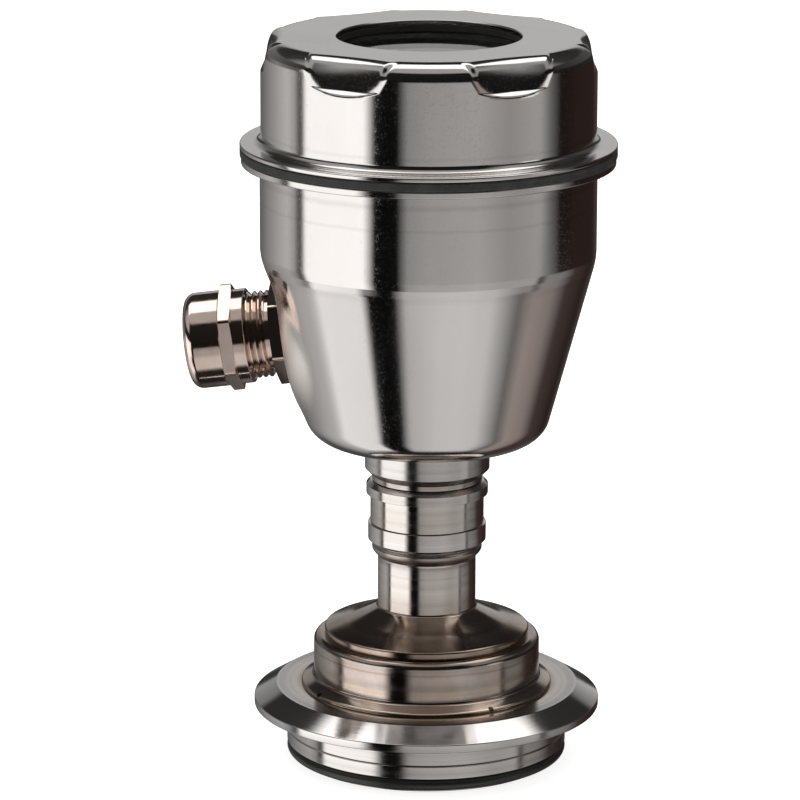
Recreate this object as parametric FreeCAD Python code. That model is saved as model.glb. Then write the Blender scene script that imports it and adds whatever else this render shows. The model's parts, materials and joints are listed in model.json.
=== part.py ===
import FreeCAD
import Part
import math
import os

# Hygienic pressure transmitter: clamp flange and spigot at the foot, welded sensor body and neck,
# a drawn housing that swivels on the neck, a screwed cover with a window and a cable gland.
# Millimetres. The origin is the centre of the flange's underside, which seats on the process
# fitting. +Z runs up the neck to the cover, and the cable gland points along -X.

# Process flange and spigot
FLANGE_D = 84.0
FLANGE_RIM_H = 2.0
FLANGE_H = 5.2
FLANGE_TOP_D = 73.2
SPIGOT_D = 68.0
SPIGOT_H = 9.2
SPIGOT_LINE_DROP = 5.9
SPIGOT_LINE_W = 0.4
ORING_CORD = 3.0
LIP_D = 63.4
LIP_H = 0.6

# Measuring cell in the foot of the flange
CELL_D = 32.0
CELL_FRONT_D = 26.6
CELL_BACK_H = 5.0
CELL_RECESS = 0.15
CELL_LIP_H = 1.2
CELL_SEAL_H = 1.0
CLAMP_RING_H = 4.0
CLAMP_RING_BORE_D = 20.0
BOARD_D = 26.0
BOARD_H = 1.6
LEAD_D = 3.6
LEAD_PLUG_D = 8.0
LEAD_PLUG_H = 5.0

# Sensor body and turned neck
BODY_D = 54.9
BODY_H = 12.5
BODY_BORE_D = 46.0
BODY_REGISTER_D = 40.0
BODY_REGISTER_H = 2.0
FOOT_WELD_W = 3.1
FOOT_WELD_H = 2.2
FOOT_WELD_EDGE_H = 0.75
FOOT_WELD_R = 0.55
BODY_SHOULDER_R = 1.8
NECK_RIM_D = 49.6
NECK_RIM_H = 1.8
NECK_RIM_R = 0.6
NECK_PLUG_H = 4.0
NECK_CONE_H = 5.1
NECK_CONE_DIP = 0.5
NECK_D = 23.8
NECK_TUBE_H = 12.3
NECK_BORE_D = 16.0
NECK_WALL = 3.0
NECK_SPIGOT_D = 19.0
NECK_SPIGOT_H = 2.0

# Swivel sleeve welded on the neck
SLEEVE_WELD_D = 26.4
SLEEVE_WELD_H = 4.1
SLEEVE_WELD_R = 1.8
LOWER_RING_D = 28.6
LOWER_RING_H = 4.7
BAND_D = 27.5
BAND_H = 7.2
UPPER_RING_D = 29.5
UPPER_RING_H = 3.3
SLEEVE_CHAMFER = 1.0
SLEEVE_BORE_D = 21.7
SLEEVE_FLOOR_H = 5.0
LEAD_BORE_D = 14.0

# Housing socket, the turning half of the swivel
SOCKET_NECK_D = 26.7
SOCKET_NECK_H = 1.2
COLLAR_D = 30.2
COLLAR_H = 8.7
NIPPLE_D = 24.0
NIPPLE_H = 2.4
SWIVEL_END_GAP = 0.5
SNAP_RING_H = 1.2
SNAP_RING_W = 2.0
SNAP_RING_RISE = 2.5
SWIVEL_CORD = 1.8
SWIVEL_ORING_DROP = 4.0

# Drawn housing
HOUSING_D = 80.5
HOUSING_BASE_D = 56.0
HOUSING_CONE_H = 45.2
HOUSING_H = 67.9
HOUSING_SHEET = 1.7
HOUSING_BASE_R = 7.0
HOUSING_WAIST_R = 14.0
HOUSING_RIM_R = 1.0

# Threaded mouth ring with the ledge that carries the electronics
MOUTH_RISE = 12.0
MOUTH_DROP = 10.8
MOUTH_BORE_D = 69.0
LEDGE_BORE_D = 58.0
LEDGE_H = 2.5

# Cover, its gasket and its window
GASKET_H = 2.2
COVER_D = 80.0
COVER_RIM_W = 5.0
RIM_STEP = 0.3
COVER_H = 26.6
COVER_SHEET = 1.2
COVER_ROOT_R = 1.8
COVER_SHOULDER_R = 4.2
RECESS_COUNT = 6
RECESS_CLOCK_DEG = 5.0
RECESS_DEPTH = 1.6
RECESS_ROUND_R = 7.4
RECESS_DROP = 6.7
RECESS_FACE_W = 12.4
RECESS_TOP_W = 18.0
RECESS_FACE_H = 7.2
RECESS_FLARE_DEG = 48.0
RECESS_FLOOR_DEG = 36.0
RECESS_CORNER_R = 2.4
RECESS_EDGE_R = 0.8
WINDOW_SEAL_H = 1.8
GLASS_D = 54.0
GLASS_H = 4.0
GLASS_LAP = 5.0
WINDOW_RING_D = 66.0
WINDOW_RING_LIP_H = 1.5
WINDOW_RING_BORE_D = 50.0

# Electronics under the cover
MODULE_FLANGE_H = 2.0
MODULE_DEPTH = 17.0
MODULE_GAP = 0.2
MODULE_SCREW_COUNT = 3
MODULE_SCREW_D = 2.5
MODULE_SCREW_HEAD_D = 3.6
MODULE_SCREW_HEAD_H = 1.6
SCREW_SLOT_W = 0.7
TERMINAL_L = 32.0
TERMINAL_W = 12.0
TERMINAL_H = 8.0
TERMINAL_COUNT = 6
TERMINAL_SCREW_D = 3.2
TERMINAL_SCREW_DEPTH = 1.5
DISPLAY_D = 55.0
DISPLAY_H = 24.0
DISPLAY_WALL = 2.0
DISPLAY_TOP_H = 2.5
PANEL_L = 28.0
PANEL_W = 17.0
PANEL_H = 1.2
PANEL_SHIFT = 5.0
KEY_COUNT = 4
KEY_D = 4.8
KEY_PITCH = 7.0
KEY_SHIFT = -11.0
KEY_PROUD = 1.0
KEY_FOOT_D = 6.2
KEY_FOOT_H = 0.8

# Cable gland, measured outwards along its own axis from the seat on the housing
GLAND_SEAT_X = 33.7
GLAND_Z = 91.9
GLAND_TILT_DEG = 7.5
SEAT_D = 27.8
SEAT_SLOPE_DEG = 40.0
BUSH_D = 24.2
BUSH_H = 8.0
GLAND_THREAD_D = 20.0
GLAND_HEX = 22.0
GLAND_HEX_H = 3.2
GLAND_HEX_CLOCK_DEG = 12.0
HEX_SIDES = 6
HEX_CHAMFER_DEG = 8.0
GLAND_RELIEF_D = 18.4
GLAND_RELIEF_H = 1.3
GLAND_THREAD_SHOWN = 4.7
GLAND_BORE_D = 12.0
GLAND_POCKET_D = 16.0
GLAND_POCKET_FLOOR = 3.0
GLAND_OVERLAP = 5.5
CAP_THREAD_D = 21.0
NUT_SLEEVE_D = 22.9
NUT_SLEEVE_H = 2.9
NUT_HEX = 23.0
NUT_HEX_H = 3.1
NUT_CLOCK_DEG = 0.0
DOME_D = 23.2
DOME_H = 9.0
DOME_ROUND = 2.6
DOME_MOUTH_D = 13.0
DOME_END_H = 2.2
NUT_BORE_H = 10.0
CLAW_RISE = 7.5
CLAW_H = 12.0
CLAW_WALL = 0.9
CLAW_SLOTS = 8
CLAW_SLOT_W = 1.2
CLAW_SLOT_H = 6.5
GROMMET_RISE = 8.0
GROMMET_H = 10.0
GROMMET_BORE_D = 9.0
GLAND_SEAL_W = 0.75
GLAND_SEAL_H = 0.8

# Clearances between pieces
RUNNING_GAP = 0.05
SEAT_GAP = 0.1
THREAD_GAP = 0.3
SLIDE_GAP = 0.1

# Sizes that follow from others
COVER_RIM_D = COVER_D + 2 * COVER_RIM_W
HOUSING_RIM_D = COVER_RIM_D - 2 * RIM_STEP
WINDOW_D = GLASS_D - 2 * GLASS_LAP

# Heights stacked from the seat plane
BODY_Z = FLANGE_H
NECK_RIM_Z = BODY_Z + BODY_H
NECK_CONE_Z = NECK_RIM_Z + NECK_RIM_H
NECK_TUBE_Z = NECK_CONE_Z + NECK_CONE_H
SLEEVE_Z = NECK_TUBE_Z + NECK_TUBE_H
LOWER_RING_Z = SLEEVE_Z + SLEEVE_WELD_H
BAND_Z = LOWER_RING_Z + LOWER_RING_H
UPPER_RING_Z = BAND_Z + BAND_H
SLEEVE_TOP_Z = UPPER_RING_Z + UPPER_RING_H
SLEEVE_FLOOR_Z = SLEEVE_Z + SLEEVE_FLOOR_H
SOCKET_Z = SLEEVE_TOP_Z + SEAT_GAP
COLLAR_Z = SOCKET_Z + SOCKET_NECK_H
HOUSING_Z = COLLAR_Z + COLLAR_H
RIM_Z = HOUSING_Z + HOUSING_H
MOUTH_Z = RIM_Z + HOUSING_SHEET
COVER_Z = MOUTH_Z + GASKET_H
COVER_TOP_Z = COVER_Z + COVER_H
LEDGE_Z = MOUTH_Z - MOUTH_DROP
MODULE_Z = LEDGE_Z + LEDGE_H
DISPLAY_Z = MODULE_Z + MODULE_FLANGE_H
DISPLAY_TOP_Z = DISPLAY_Z + DISPLAY_H
FOOT_Z = -(SPIGOT_H + ORING_CORD + SEAT_GAP + LIP_H)
CELL_SEAT_Z = FOOT_Z + CELL_LIP_H
CELL_STEP_Z = CELL_SEAT_Z + CELL_SEAL_H
CELL_BACK_Z = CELL_STEP_Z + CELL_BACK_H
BOARD_Z = CELL_BACK_Z + CLAMP_RING_H
LEAD_Z = BOARD_Z + BOARD_H
LEAD_TOP_Z = MODULE_Z - MODULE_DEPTH - THREAD_GAP

# Lengths along the gland's axis
RELIEF_A = GLAND_HEX_H
THREAD_A = RELIEF_A + GLAND_RELIEF_H
NUT_A = THREAD_A + GLAND_THREAD_SHOWN
NUT_HEX_A = NUT_A + NUT_SLEEVE_H
DOME_A = NUT_HEX_A + NUT_HEX_H
DOME_END_A = DOME_A + DOME_H
THREAD_END_A = NUT_A + GLAND_OVERLAP
GLAND_SHANK_A = -(HOUSING_SHEET + BUSH_H)

ORIGIN = FreeCAD.Vector(0, 0, 0)
UP = FreeCAD.Vector(0, 0, 1)
FULL_TURN = 360.0
SHARP_DEG = 12.0
SAME_POINT = 1e-6


def rounded_wire(corners, place):
    """Closed wire through (a, b) or (a, b, radius) corners, with tangent arcs at the radii."""
    points = [FreeCAD.Vector(corner[0], corner[1], 0) for corner in corners]
    spans = []
    for index, corner in enumerate(corners):
        point = points[index]
        radius = corner[2] if len(corner) > 2 else 0
        if radius == 0:
            spans.append((point, None, point))
            continue
        back = (points[index - 1] - point).normalize()
        ahead = (points[(index + 1) % len(points)] - point).normalize()
        half = back.getAngle(ahead) / 2
        reach = radius / math.tan(half)
        inward = (back + ahead).normalize()
        middle = point + inward * (radius / math.sin(half) - radius)
        spans.append((point + back * reach, middle, point + ahead * reach))
    edges = []
    for index, (start, middle, end) in enumerate(spans):
        if middle is not None:
            edges.append(Part.Arc(place(start), place(middle), place(end)).toShape())
        following = spans[(index + 1) % len(spans)][0]
        if not end.isEqual(following, SAME_POINT):
            edges.append(Part.LineSegment(place(end), place(following)).toShape())
    return Part.Wire(Part.__sortEdges__(edges))


def turned(corners):
    """Solid of revolution about Z from a closed (radius, height) outline."""
    wire = rounded_wire(corners, lambda point: FreeCAD.Vector(point.x, 0, point.y))
    return Part.Face(wire).revolve(ORIGIN, UP, FULL_TURN)


def rod(diameter, low, high):
    return Part.makeCylinder(diameter / 2, high - low, FreeCAD.Vector(0, 0, low))


def ring(outer_d, inner_d, low, high):
    return rod(outer_d, low, high).cut(rod(inner_d, low, high))


def cord_ring(outer_d, cord_d, middle):
    """Seal ring of round section."""
    return Part.makeTorus((outer_d - cord_d) / 2, cord_d / 2, FreeCAD.Vector(0, 0, middle))


def block(length, width, low, high, shift_y):
    corner = FreeCAD.Vector(-length / 2, shift_y - width / 2, low)
    return Part.makeBox(length, width, high - low, corner)


def around(shape, count, first_deg):
    """Copies of a shape spaced evenly about Z."""
    copies = []
    for index in range(count):
        copy = shape.copy()
        copy.rotate(ORIGIN, UP, first_deg + FULL_TURN * index / count)
        copies.append(copy)
    return copies


def hexagon(across_flats, low, high, clock_deg):
    """Hexagonal prism about Z with its corners turned back by the usual chamfer."""
    corner_r = across_flats / math.sqrt(3)
    points = []
    for index in range(HEX_SIDES + 1):
        angle = math.radians(FULL_TURN * index / HEX_SIDES + clock_deg)
        points.append(FreeCAD.Vector(corner_r * math.cos(angle), corner_r * math.sin(angle), low))
    prism = Part.Face(Part.makePolygon(points)).extrude(UP * (high - low))
    flat_r = across_flats / 2
    drop = (corner_r - flat_r) * math.tan(math.radians(HEX_CHAMFER_DEG))
    crown = turned([(0, low), (flat_r, low), (corner_r, low + drop), (corner_r, high - drop),
                    (flat_r, high), (0, high)])
    return prism.common(crown)


def on_gland_axis(shape):
    """Moves a shape modelled outwards along +Z from its seat on to the gland's axis."""
    placed = shape.copy()
    placed.rotate(ORIGIN, FreeCAD.Vector(0, 1, 0), -(90 + GLAND_TILT_DEG))
    placed.translate(FreeCAD.Vector(-GLAND_SEAT_X, 0, GLAND_Z))
    return placed


def sharp_edges(shape, accept):
    """Edges where two faces meet at an angle, and whose middle the test accepts."""
    found = []
    for edge in shape.Edges:
        middle = edge.valueAt((edge.FirstParameter + edge.LastParameter) / 2)
        if not accept(middle):
            continue
        faces = shape.ancestorsOfType(edge, Part.Face)
        if len(faces) != 2:
            continue
        normals = [face.normalAt(*face.Surface.parameter(middle)) for face in faces]
        if math.degrees(normals[0].getAngle(normals[1])) > SHARP_DEG:
            found.append(edge)
    return found


def process_flange():
    """Clamp flange with its spigot, seal groove and the stepped bore for the cell."""
    groove_top = -SPIGOT_H
    groove_low = FOOT_Z + LIP_H
    groove_r = SPIGOT_D / 2 - ORING_CORD - RUNNING_GAP
    line_z = -SPIGOT_LINE_DROP
    spigot_r = SPIGOT_D / 2
    pocket_r = CELL_D / 2 + RUNNING_GAP
    register_r = BODY_REGISTER_D / 2 + RUNNING_GAP
    register_z = FLANGE_H - BODY_REGISTER_H - SEAT_GAP
    window_r = CELL_FRONT_D / 2 + SEAT_GAP
    return turned([
        (window_r, FOOT_Z), (LIP_D / 2, FOOT_Z), (LIP_D / 2, groove_low), (groove_r, groove_low),
        (groove_r, groove_top), (spigot_r, groove_top),
        (spigot_r, line_z - SPIGOT_LINE_W / 2), (spigot_r - SPIGOT_LINE_W / 2, line_z),
        (spigot_r, line_z + SPIGOT_LINE_W / 2), (spigot_r, 0), (FLANGE_D / 2, 0),
        (FLANGE_D / 2, FLANGE_RIM_H), (FLANGE_TOP_D / 2, FLANGE_H), (register_r, FLANGE_H),
        (register_r, register_z), (pocket_r, register_z), (pocket_r, CELL_SEAT_Z),
        (window_r, CELL_SEAT_Z)])


def process_oring():
    return cord_ring(SPIGOT_D, ORING_CORD, -SPIGOT_H - (ORING_CORD + SEAT_GAP) / 2)


def cell_seal():
    return ring(CELL_D - 2 * SEAT_GAP, CELL_FRONT_D + 2 * SEAT_GAP, CELL_SEAT_Z, CELL_STEP_Z)


def measuring_cell():
    """Stepped ceramic cell whose front stands almost flush with the foot of the flange."""
    return turned([(0, FOOT_Z + CELL_RECESS), (CELL_FRONT_D / 2, FOOT_Z + CELL_RECESS),
                   (CELL_FRONT_D / 2, CELL_STEP_Z), (CELL_D / 2 - SEAT_GAP, CELL_STEP_Z),
                   (CELL_D / 2 - SEAT_GAP, CELL_BACK_Z), (0, CELL_BACK_Z)])


def cell_clamp_ring():
    return ring(CELL_D, CLAMP_RING_BORE_D, CELL_BACK_Z, BOARD_Z)


def cell_board():
    return rod(BOARD_D, BOARD_Z, LEAD_Z)


def sensor_lead():
    """Lead from the cell's board up the neck to a plug under the electronics."""
    plug_z = LEAD_TOP_Z - LEAD_PLUG_H
    return rod(LEAD_D, LEAD_Z, plug_z).fuse(rod(LEAD_PLUG_D, plug_z, LEAD_TOP_Z)).removeSplitter()


def sensor_body():
    """Tube with a weld foot on the flange and a rounded weld shoulder at its top."""
    body_r = BODY_D / 2
    foot_r = body_r + FOOT_WELD_W
    register_r = BODY_REGISTER_D / 2
    bore_r = BODY_BORE_D / 2
    return turned([
        (NECK_D / 2 + NECK_WALL, BODY_Z - BODY_REGISTER_H), (register_r, BODY_Z - BODY_REGISTER_H),
        (register_r, BODY_Z), (foot_r, BODY_Z), (foot_r, BODY_Z + FOOT_WELD_EDGE_H, FOOT_WELD_R),
        (body_r, BODY_Z + FOOT_WELD_H), (body_r, NECK_RIM_Z, BODY_SHOULDER_R), (bore_r, NECK_RIM_Z),
        (bore_r, NECK_RIM_Z - NECK_PLUG_H - SEAT_GAP),
        (NECK_D / 2 + NECK_WALL, NECK_RIM_Z - NECK_PLUG_H - SEAT_GAP)])


def sensor_neck():
    """Turned neck: plug in the body, rim, hollow-ground cone and the tube above it."""
    plug_r = BODY_BORE_D / 2 - RUNNING_GAP
    plug_z = NECK_RIM_Z - NECK_PLUG_H
    rim_r = NECK_RIM_D / 2
    neck_r = NECK_D / 2
    bore_r = NECK_BORE_D / 2
    cone_middle_r = (rim_r + neck_r) / 2
    cone_middle_z = NECK_CONE_Z + NECK_CONE_H / 2 - NECK_CONE_DIP
    flare_r = (rim_r - neck_r)
    return turned([
        (bore_r, NECK_CONE_Z), (plug_r - NECK_WALL, plug_z + NECK_WALL), (plug_r - NECK_WALL, plug_z),
        (plug_r, plug_z), (plug_r, NECK_RIM_Z), (rim_r, NECK_RIM_Z),
        (rim_r, NECK_CONE_Z, NECK_RIM_R), (cone_middle_r, cone_middle_z, flare_r),
        (neck_r, NECK_TUBE_Z), (neck_r, SLEEVE_Z), (NECK_SPIGOT_D / 2, SLEEVE_Z),
        (NECK_SPIGOT_D / 2, SLEEVE_Z + NECK_SPIGOT_H), (bore_r, SLEEVE_Z + NECK_SPIGOT_H)])


def neck_sleeve():
    """Swivel sleeve with its weld bead, two rings and the wide band between them."""
    neck_r = NECK_D / 2
    bead_r = SLEEVE_WELD_D / 2
    lower_r = LOWER_RING_D / 2
    band_r = BAND_D / 2
    upper_r = UPPER_RING_D / 2
    bore_r = SLEEVE_BORE_D / 2
    lead_r = LEAD_BORE_D / 2
    socket_r = NECK_SPIGOT_D / 2 + RUNNING_GAP
    socket_top = SLEEVE_Z + NECK_SPIGOT_H + SEAT_GAP
    bead_top = LOWER_RING_Z - SLEEVE_CHAMFER / 2
    ring_low = SLEEVE_FLOOR_Z + SNAP_RING_RISE
    groove_r = snap_ring_outer_r() + RUNNING_GAP
    return turned([
        (socket_r, SLEEVE_Z), (neck_r, SLEEVE_Z), (bead_r, SLEEVE_Z + SLEEVE_CHAMFER, SLEEVE_WELD_R),
        (bead_r, bead_top), (bead_r - SLEEVE_CHAMFER / 2, LOWER_RING_Z),
        (lower_r, LOWER_RING_Z + SLEEVE_CHAMFER), (lower_r, BAND_Z), (band_r, BAND_Z),
        (band_r, UPPER_RING_Z), (upper_r, UPPER_RING_Z), (upper_r, SLEEVE_TOP_Z - SLEEVE_CHAMFER),
        (upper_r - SLEEVE_CHAMFER, SLEEVE_TOP_Z), (bore_r, SLEEVE_TOP_Z),
        (bore_r, ring_low + SNAP_RING_H + SEAT_GAP), (groove_r, ring_low + SNAP_RING_H + SEAT_GAP),
        (groove_r, ring_low), (bore_r, ring_low), (bore_r, SLEEVE_FLOOR_Z), (lead_r, SLEEVE_FLOOR_Z),
        (lead_r, socket_top), (socket_r, socket_top)])


def swivel_r():
    """Radius of the turning spigot in the sleeve's bore."""
    return SLEEVE_BORE_D / 2 - RUNNING_GAP


def snap_ring_outer_r():
    return SLEEVE_BORE_D / 2 + SNAP_RING_W / 2


def swivel_ring():
    """Retaining ring, half in the sleeve's groove and half in the spigot's."""
    low = SLEEVE_FLOOR_Z + SNAP_RING_RISE
    outer_d = 2 * snap_ring_outer_r()
    return ring(outer_d, outer_d - 2 * SNAP_RING_W, low, low + SNAP_RING_H)


def housing_socket():
    """Turned socket under the housing, with the spigot that turns in the sleeve."""
    spigot_r = swivel_r()
    end_z = SLEEVE_FLOOR_Z + SWIVEL_END_GAP
    collar_r = COLLAR_D / 2
    neck_r = SOCKET_NECK_D / 2
    chamfer = collar_r - neck_r
    lead_r = LEAD_BORE_D / 2
    snap_low = SLEEVE_FLOOR_Z + SNAP_RING_RISE - THREAD_GAP
    snap_high = snap_low + SNAP_RING_H + 2 * THREAD_GAP + SEAT_GAP
    snap_r = snap_ring_outer_r() - SNAP_RING_W - THREAD_GAP
    seal_high = SOCKET_Z - SWIVEL_ORING_DROP + SWIVEL_CORD / 2 + SEAT_GAP
    seal_low = SOCKET_Z - SWIVEL_ORING_DROP - SWIVEL_CORD / 2 - SEAT_GAP
    seal_r = spigot_r - SWIVEL_CORD - RUNNING_GAP
    return turned([
        (lead_r, end_z), (spigot_r, end_z), (spigot_r, snap_low), (snap_r, snap_low),
        (snap_r, snap_high), (spigot_r, snap_high), (spigot_r, seal_low), (seal_r, seal_low),
        (seal_r, seal_high), (spigot_r, seal_high), (spigot_r, SOCKET_Z), (neck_r, SOCKET_Z),
        (neck_r, COLLAR_Z), (collar_r, COLLAR_Z + chamfer), (collar_r, HOUSING_Z),
        (NIPPLE_D / 2, HOUSING_Z), (NIPPLE_D / 2, HOUSING_Z + NIPPLE_H), (lead_r, HOUSING_Z + NIPPLE_H)])


def swivel_oring():
    return cord_ring(2 * swivel_r(), SWIVEL_CORD, SOCKET_Z - SWIVEL_ORING_DROP)


def housing_form(inset, top_z):
    """Filled form of the drawn housing, or of its inside when inset by the sheet."""
    base_r = HOUSING_BASE_D / 2
    wall_r = HOUSING_D / 2 - inset
    slope = math.atan2(HOUSING_D / 2 - base_r, HOUSING_CONE_H)
    low = HOUSING_Z + inset
    low_r = base_r + inset * (math.tan(slope) - 1 / math.cos(slope))
    waist_z = low + (wall_r - low_r) / math.tan(slope)
    return turned([(0, low), (low_r, low, HOUSING_BASE_R - inset),
                   (wall_r, waist_z, HOUSING_WAIST_R - inset), (wall_r, top_z), (0, top_z)])


def housing_rim():
    """Flat rim turned outwards at the mouth, with the small radius under it."""
    wall_r = HOUSING_D / 2
    root_z = RIM_Z - 2 * HOUSING_RIM_R
    return turned([(0, root_z), (wall_r, root_z), (wall_r, RIM_Z, HOUSING_RIM_R),
                   (HOUSING_RIM_D / 2, RIM_Z), (HOUSING_RIM_D / 2, MOUTH_Z), (0, MOUTH_Z)])


def gland_seat(radius, level, rise):
    """Cone with a flat end at the given level: it stands proud of the wall, or sinks into it."""
    far_r = radius + abs(rise) / math.tan(math.radians(90 - SEAT_SLOPE_DEG))
    return on_gland_axis(turned([(0, level), (radius, level), (far_r, level + rise), (0, level + rise)]))


def housing_shell():
    """Drawn sheet housing with a pressed flat seat for the gland."""
    reach = BUSH_H
    seat_r = SEAT_D / 2
    outside = housing_form(0, RIM_Z).fuse(housing_rim())
    outside = outside.cut(gland_seat(seat_r, 0, reach)).fuse(gland_seat(seat_r, 0, -reach))
    inside = housing_form(HOUSING_SHEET, MOUTH_Z)
    inside = inside.cut(gland_seat(seat_r, -HOUSING_SHEET, reach))
    inside = inside.fuse(on_gland_axis(rod(BUSH_D + 2 * SEAT_GAP, GLAND_SHANK_A, -HOUSING_SHEET)))
    shell = outside.cut(inside)
    shell = shell.cut(rod(NIPPLE_D + 2 * RUNNING_GAP, HOUSING_Z, HOUSING_Z + HOUSING_SHEET))
    hole = rod(GLAND_THREAD_D + 2 * RUNNING_GAP, -2 * HOUSING_SHEET, HOUSING_SHEET)
    return shell.cut(on_gland_axis(hole)).removeSplitter()


def thread_ring():
    """Ring in the housing's mouth: thread for the cover above, ledge for the electronics below."""
    outer_r = HOUSING_D / 2 - HOUSING_SHEET - RUNNING_GAP
    bore_r = MOUTH_BORE_D / 2
    ledge_r = LEDGE_BORE_D / 2
    top_z = MOUTH_Z + MOUTH_RISE
    body = turned([(ledge_r, LEDGE_Z), (outer_r, LEDGE_Z), (outer_r, top_z), (bore_r, top_z),
                   (bore_r, MODULE_Z), (ledge_r, MODULE_Z)])
    for hole in module_screw_places(rod(MODULE_SCREW_D + 2 * SEAT_GAP, LEDGE_Z, MODULE_Z)):
        body = body.cut(hole)
    return body


def module_screw_places(shape):
    """Copies of a shape at the screws that hold the electronics on the ledge."""
    screw_r = (MOUTH_BORE_D + LEDGE_BORE_D) / 4
    moved = shape.copy()
    moved.translate(FreeCAD.Vector(0, screw_r, 0))
    return around(moved, MODULE_SCREW_COUNT, 0)


def electronics_module():
    """Potted cup with a flange on the ledge."""
    cup_d = LEDGE_BORE_D - 2 * MODULE_GAP
    flange_d = MOUTH_BORE_D - 2 * MODULE_GAP
    body = rod(cup_d, MODULE_Z - MODULE_DEPTH, MODULE_Z).fuse(rod(flange_d, MODULE_Z, DISPLAY_Z))
    body = body.removeSplitter()
    for hole in module_screw_places(rod(MODULE_SCREW_D + 2 * SEAT_GAP, MODULE_Z, DISPLAY_Z)):
        body = body.cut(hole)
    return body


def electronics_screws():
    shank = rod(MODULE_SCREW_D, LEDGE_Z, DISPLAY_Z)
    head = rod(MODULE_SCREW_HEAD_D, DISPLAY_Z, DISPLAY_Z + MODULE_SCREW_HEAD_H)
    slot = block(MODULE_SCREW_HEAD_D, SCREW_SLOT_W, DISPLAY_Z + MODULE_SCREW_HEAD_H / 2,
                 DISPLAY_Z + MODULE_SCREW_HEAD_H, 0)
    screw = shank.fuse(head).removeSplitter().cut(slot)
    return Part.makeCompound(module_screw_places(screw))


def terminal_places(shape):
    pitch = TERMINAL_L / TERMINAL_COUNT
    copies = []
    for index in range(TERMINAL_COUNT):
        copy = shape.copy()
        copy.translate(FreeCAD.Vector((index - (TERMINAL_COUNT - 1) / 2) * pitch, 0, 0))
        copies.append(copy)
    return copies


def terminal_block():
    top = DISPLAY_Z + TERMINAL_H
    body = block(TERMINAL_L, TERMINAL_W, DISPLAY_Z, top, 0)
    pocket = rod(TERMINAL_SCREW_D + 2 * SEAT_GAP, top - 2 * TERMINAL_SCREW_DEPTH, top)
    for hole in terminal_places(pocket):
        body = body.cut(hole)
    return body


def terminal_screws():
    low = DISPLAY_Z + TERMINAL_H - 2 * TERMINAL_SCREW_DEPTH
    high = low + TERMINAL_SCREW_DEPTH
    slot = block(TERMINAL_SCREW_D, SCREW_SLOT_W, (low + high) / 2, high, 0)
    return Part.makeCompound(terminal_places(rod(TERMINAL_SCREW_D, low, high).cut(slot)))


def display_module():
    """Plug-on display housing: a skirt on the electronics and a top with panel and keys."""
    outer_r = DISPLAY_D / 2
    inner_r = outer_r - DISPLAY_WALL
    under_z = DISPLAY_TOP_Z - DISPLAY_TOP_H
    body = turned([(inner_r, DISPLAY_Z), (outer_r, DISPLAY_Z), (outer_r, DISPLAY_TOP_Z, DISPLAY_WALL / 2),
                   (0, DISPLAY_TOP_Z), (0, under_z), (inner_r, under_z)])
    pocket = block(PANEL_L + 2 * SEAT_GAP, PANEL_W + 2 * SEAT_GAP, DISPLAY_TOP_Z - PANEL_H,
                   DISPLAY_TOP_Z, PANEL_SHIFT)
    body = body.cut(pocket)
    hole = rod(KEY_D + 2 * RUNNING_GAP, under_z, DISPLAY_TOP_Z)
    for index in range(KEY_COUNT):
        body = body.cut(at_key(hole, index))
    return body


def display_panel():
    return block(PANEL_L, PANEL_W, DISPLAY_TOP_Z - PANEL_H, DISPLAY_TOP_Z, PANEL_SHIFT)


def at_key(shape, index):
    moved = shape.copy()
    moved.translate(FreeCAD.Vector((index - (KEY_COUNT - 1) / 2) * KEY_PITCH, KEY_SHIFT, 0))
    return moved


def display_key(index):
    """Round key with a foot that keeps it under the display's top."""
    foot_top = DISPLAY_TOP_Z - DISPLAY_TOP_H - SEAT_GAP
    foot_low = foot_top - KEY_FOOT_H
    top = DISPLAY_TOP_Z + KEY_PROUD
    key_r = KEY_D / 2
    foot_r = KEY_FOOT_D / 2
    key = turned([(0, foot_low), (foot_r, foot_low), (foot_r, foot_top), (key_r, foot_top),
                  (key_r, top, KEY_PROUD / 2), (0, top)])
    return at_key(key, index)


def cover_gasket():
    bore_d = HOUSING_D - 2 * HOUSING_SHEET + 2 * THREAD_GAP
    return ring(COVER_RIM_D, bore_d, MOUTH_Z, COVER_Z)


def cover_form(inset):
    """Filled form of the cover without recesses, or of its inside when inset by the sheet."""
    wall_r = COVER_D / 2 - inset
    top_z = COVER_TOP_Z - inset
    return turned([(0, COVER_Z - inset), (wall_r, COVER_Z - inset),
                   (wall_r, top_z, COVER_SHOULDER_R - inset), (0, top_z)])


def cover_rim():
    root_z = COVER_Z + COVER_SHEET
    wall_r = COVER_D / 2
    return turned([(0, COVER_Z), (COVER_RIM_D / 2, COVER_Z), (COVER_RIM_D / 2, root_z),
                   (wall_r, root_z, COVER_ROOT_R), (wall_r, root_z + 2 * COVER_ROOT_R),
                   (0, root_z + 2 * COVER_ROOT_R)])


def recess_outline(distance, half_floor, half_top, low, high, corner_r):
    """Outline of a finger recess, wider at its top, in the plane at a distance from the axis."""
    corners = [(-half_top, high), (-half_floor, low, corner_r), (half_floor, low, corner_r),
               (half_top, high)]
    return rounded_wire(corners, lambda point: FreeCAD.Vector(distance, point.x, point.y))


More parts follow.
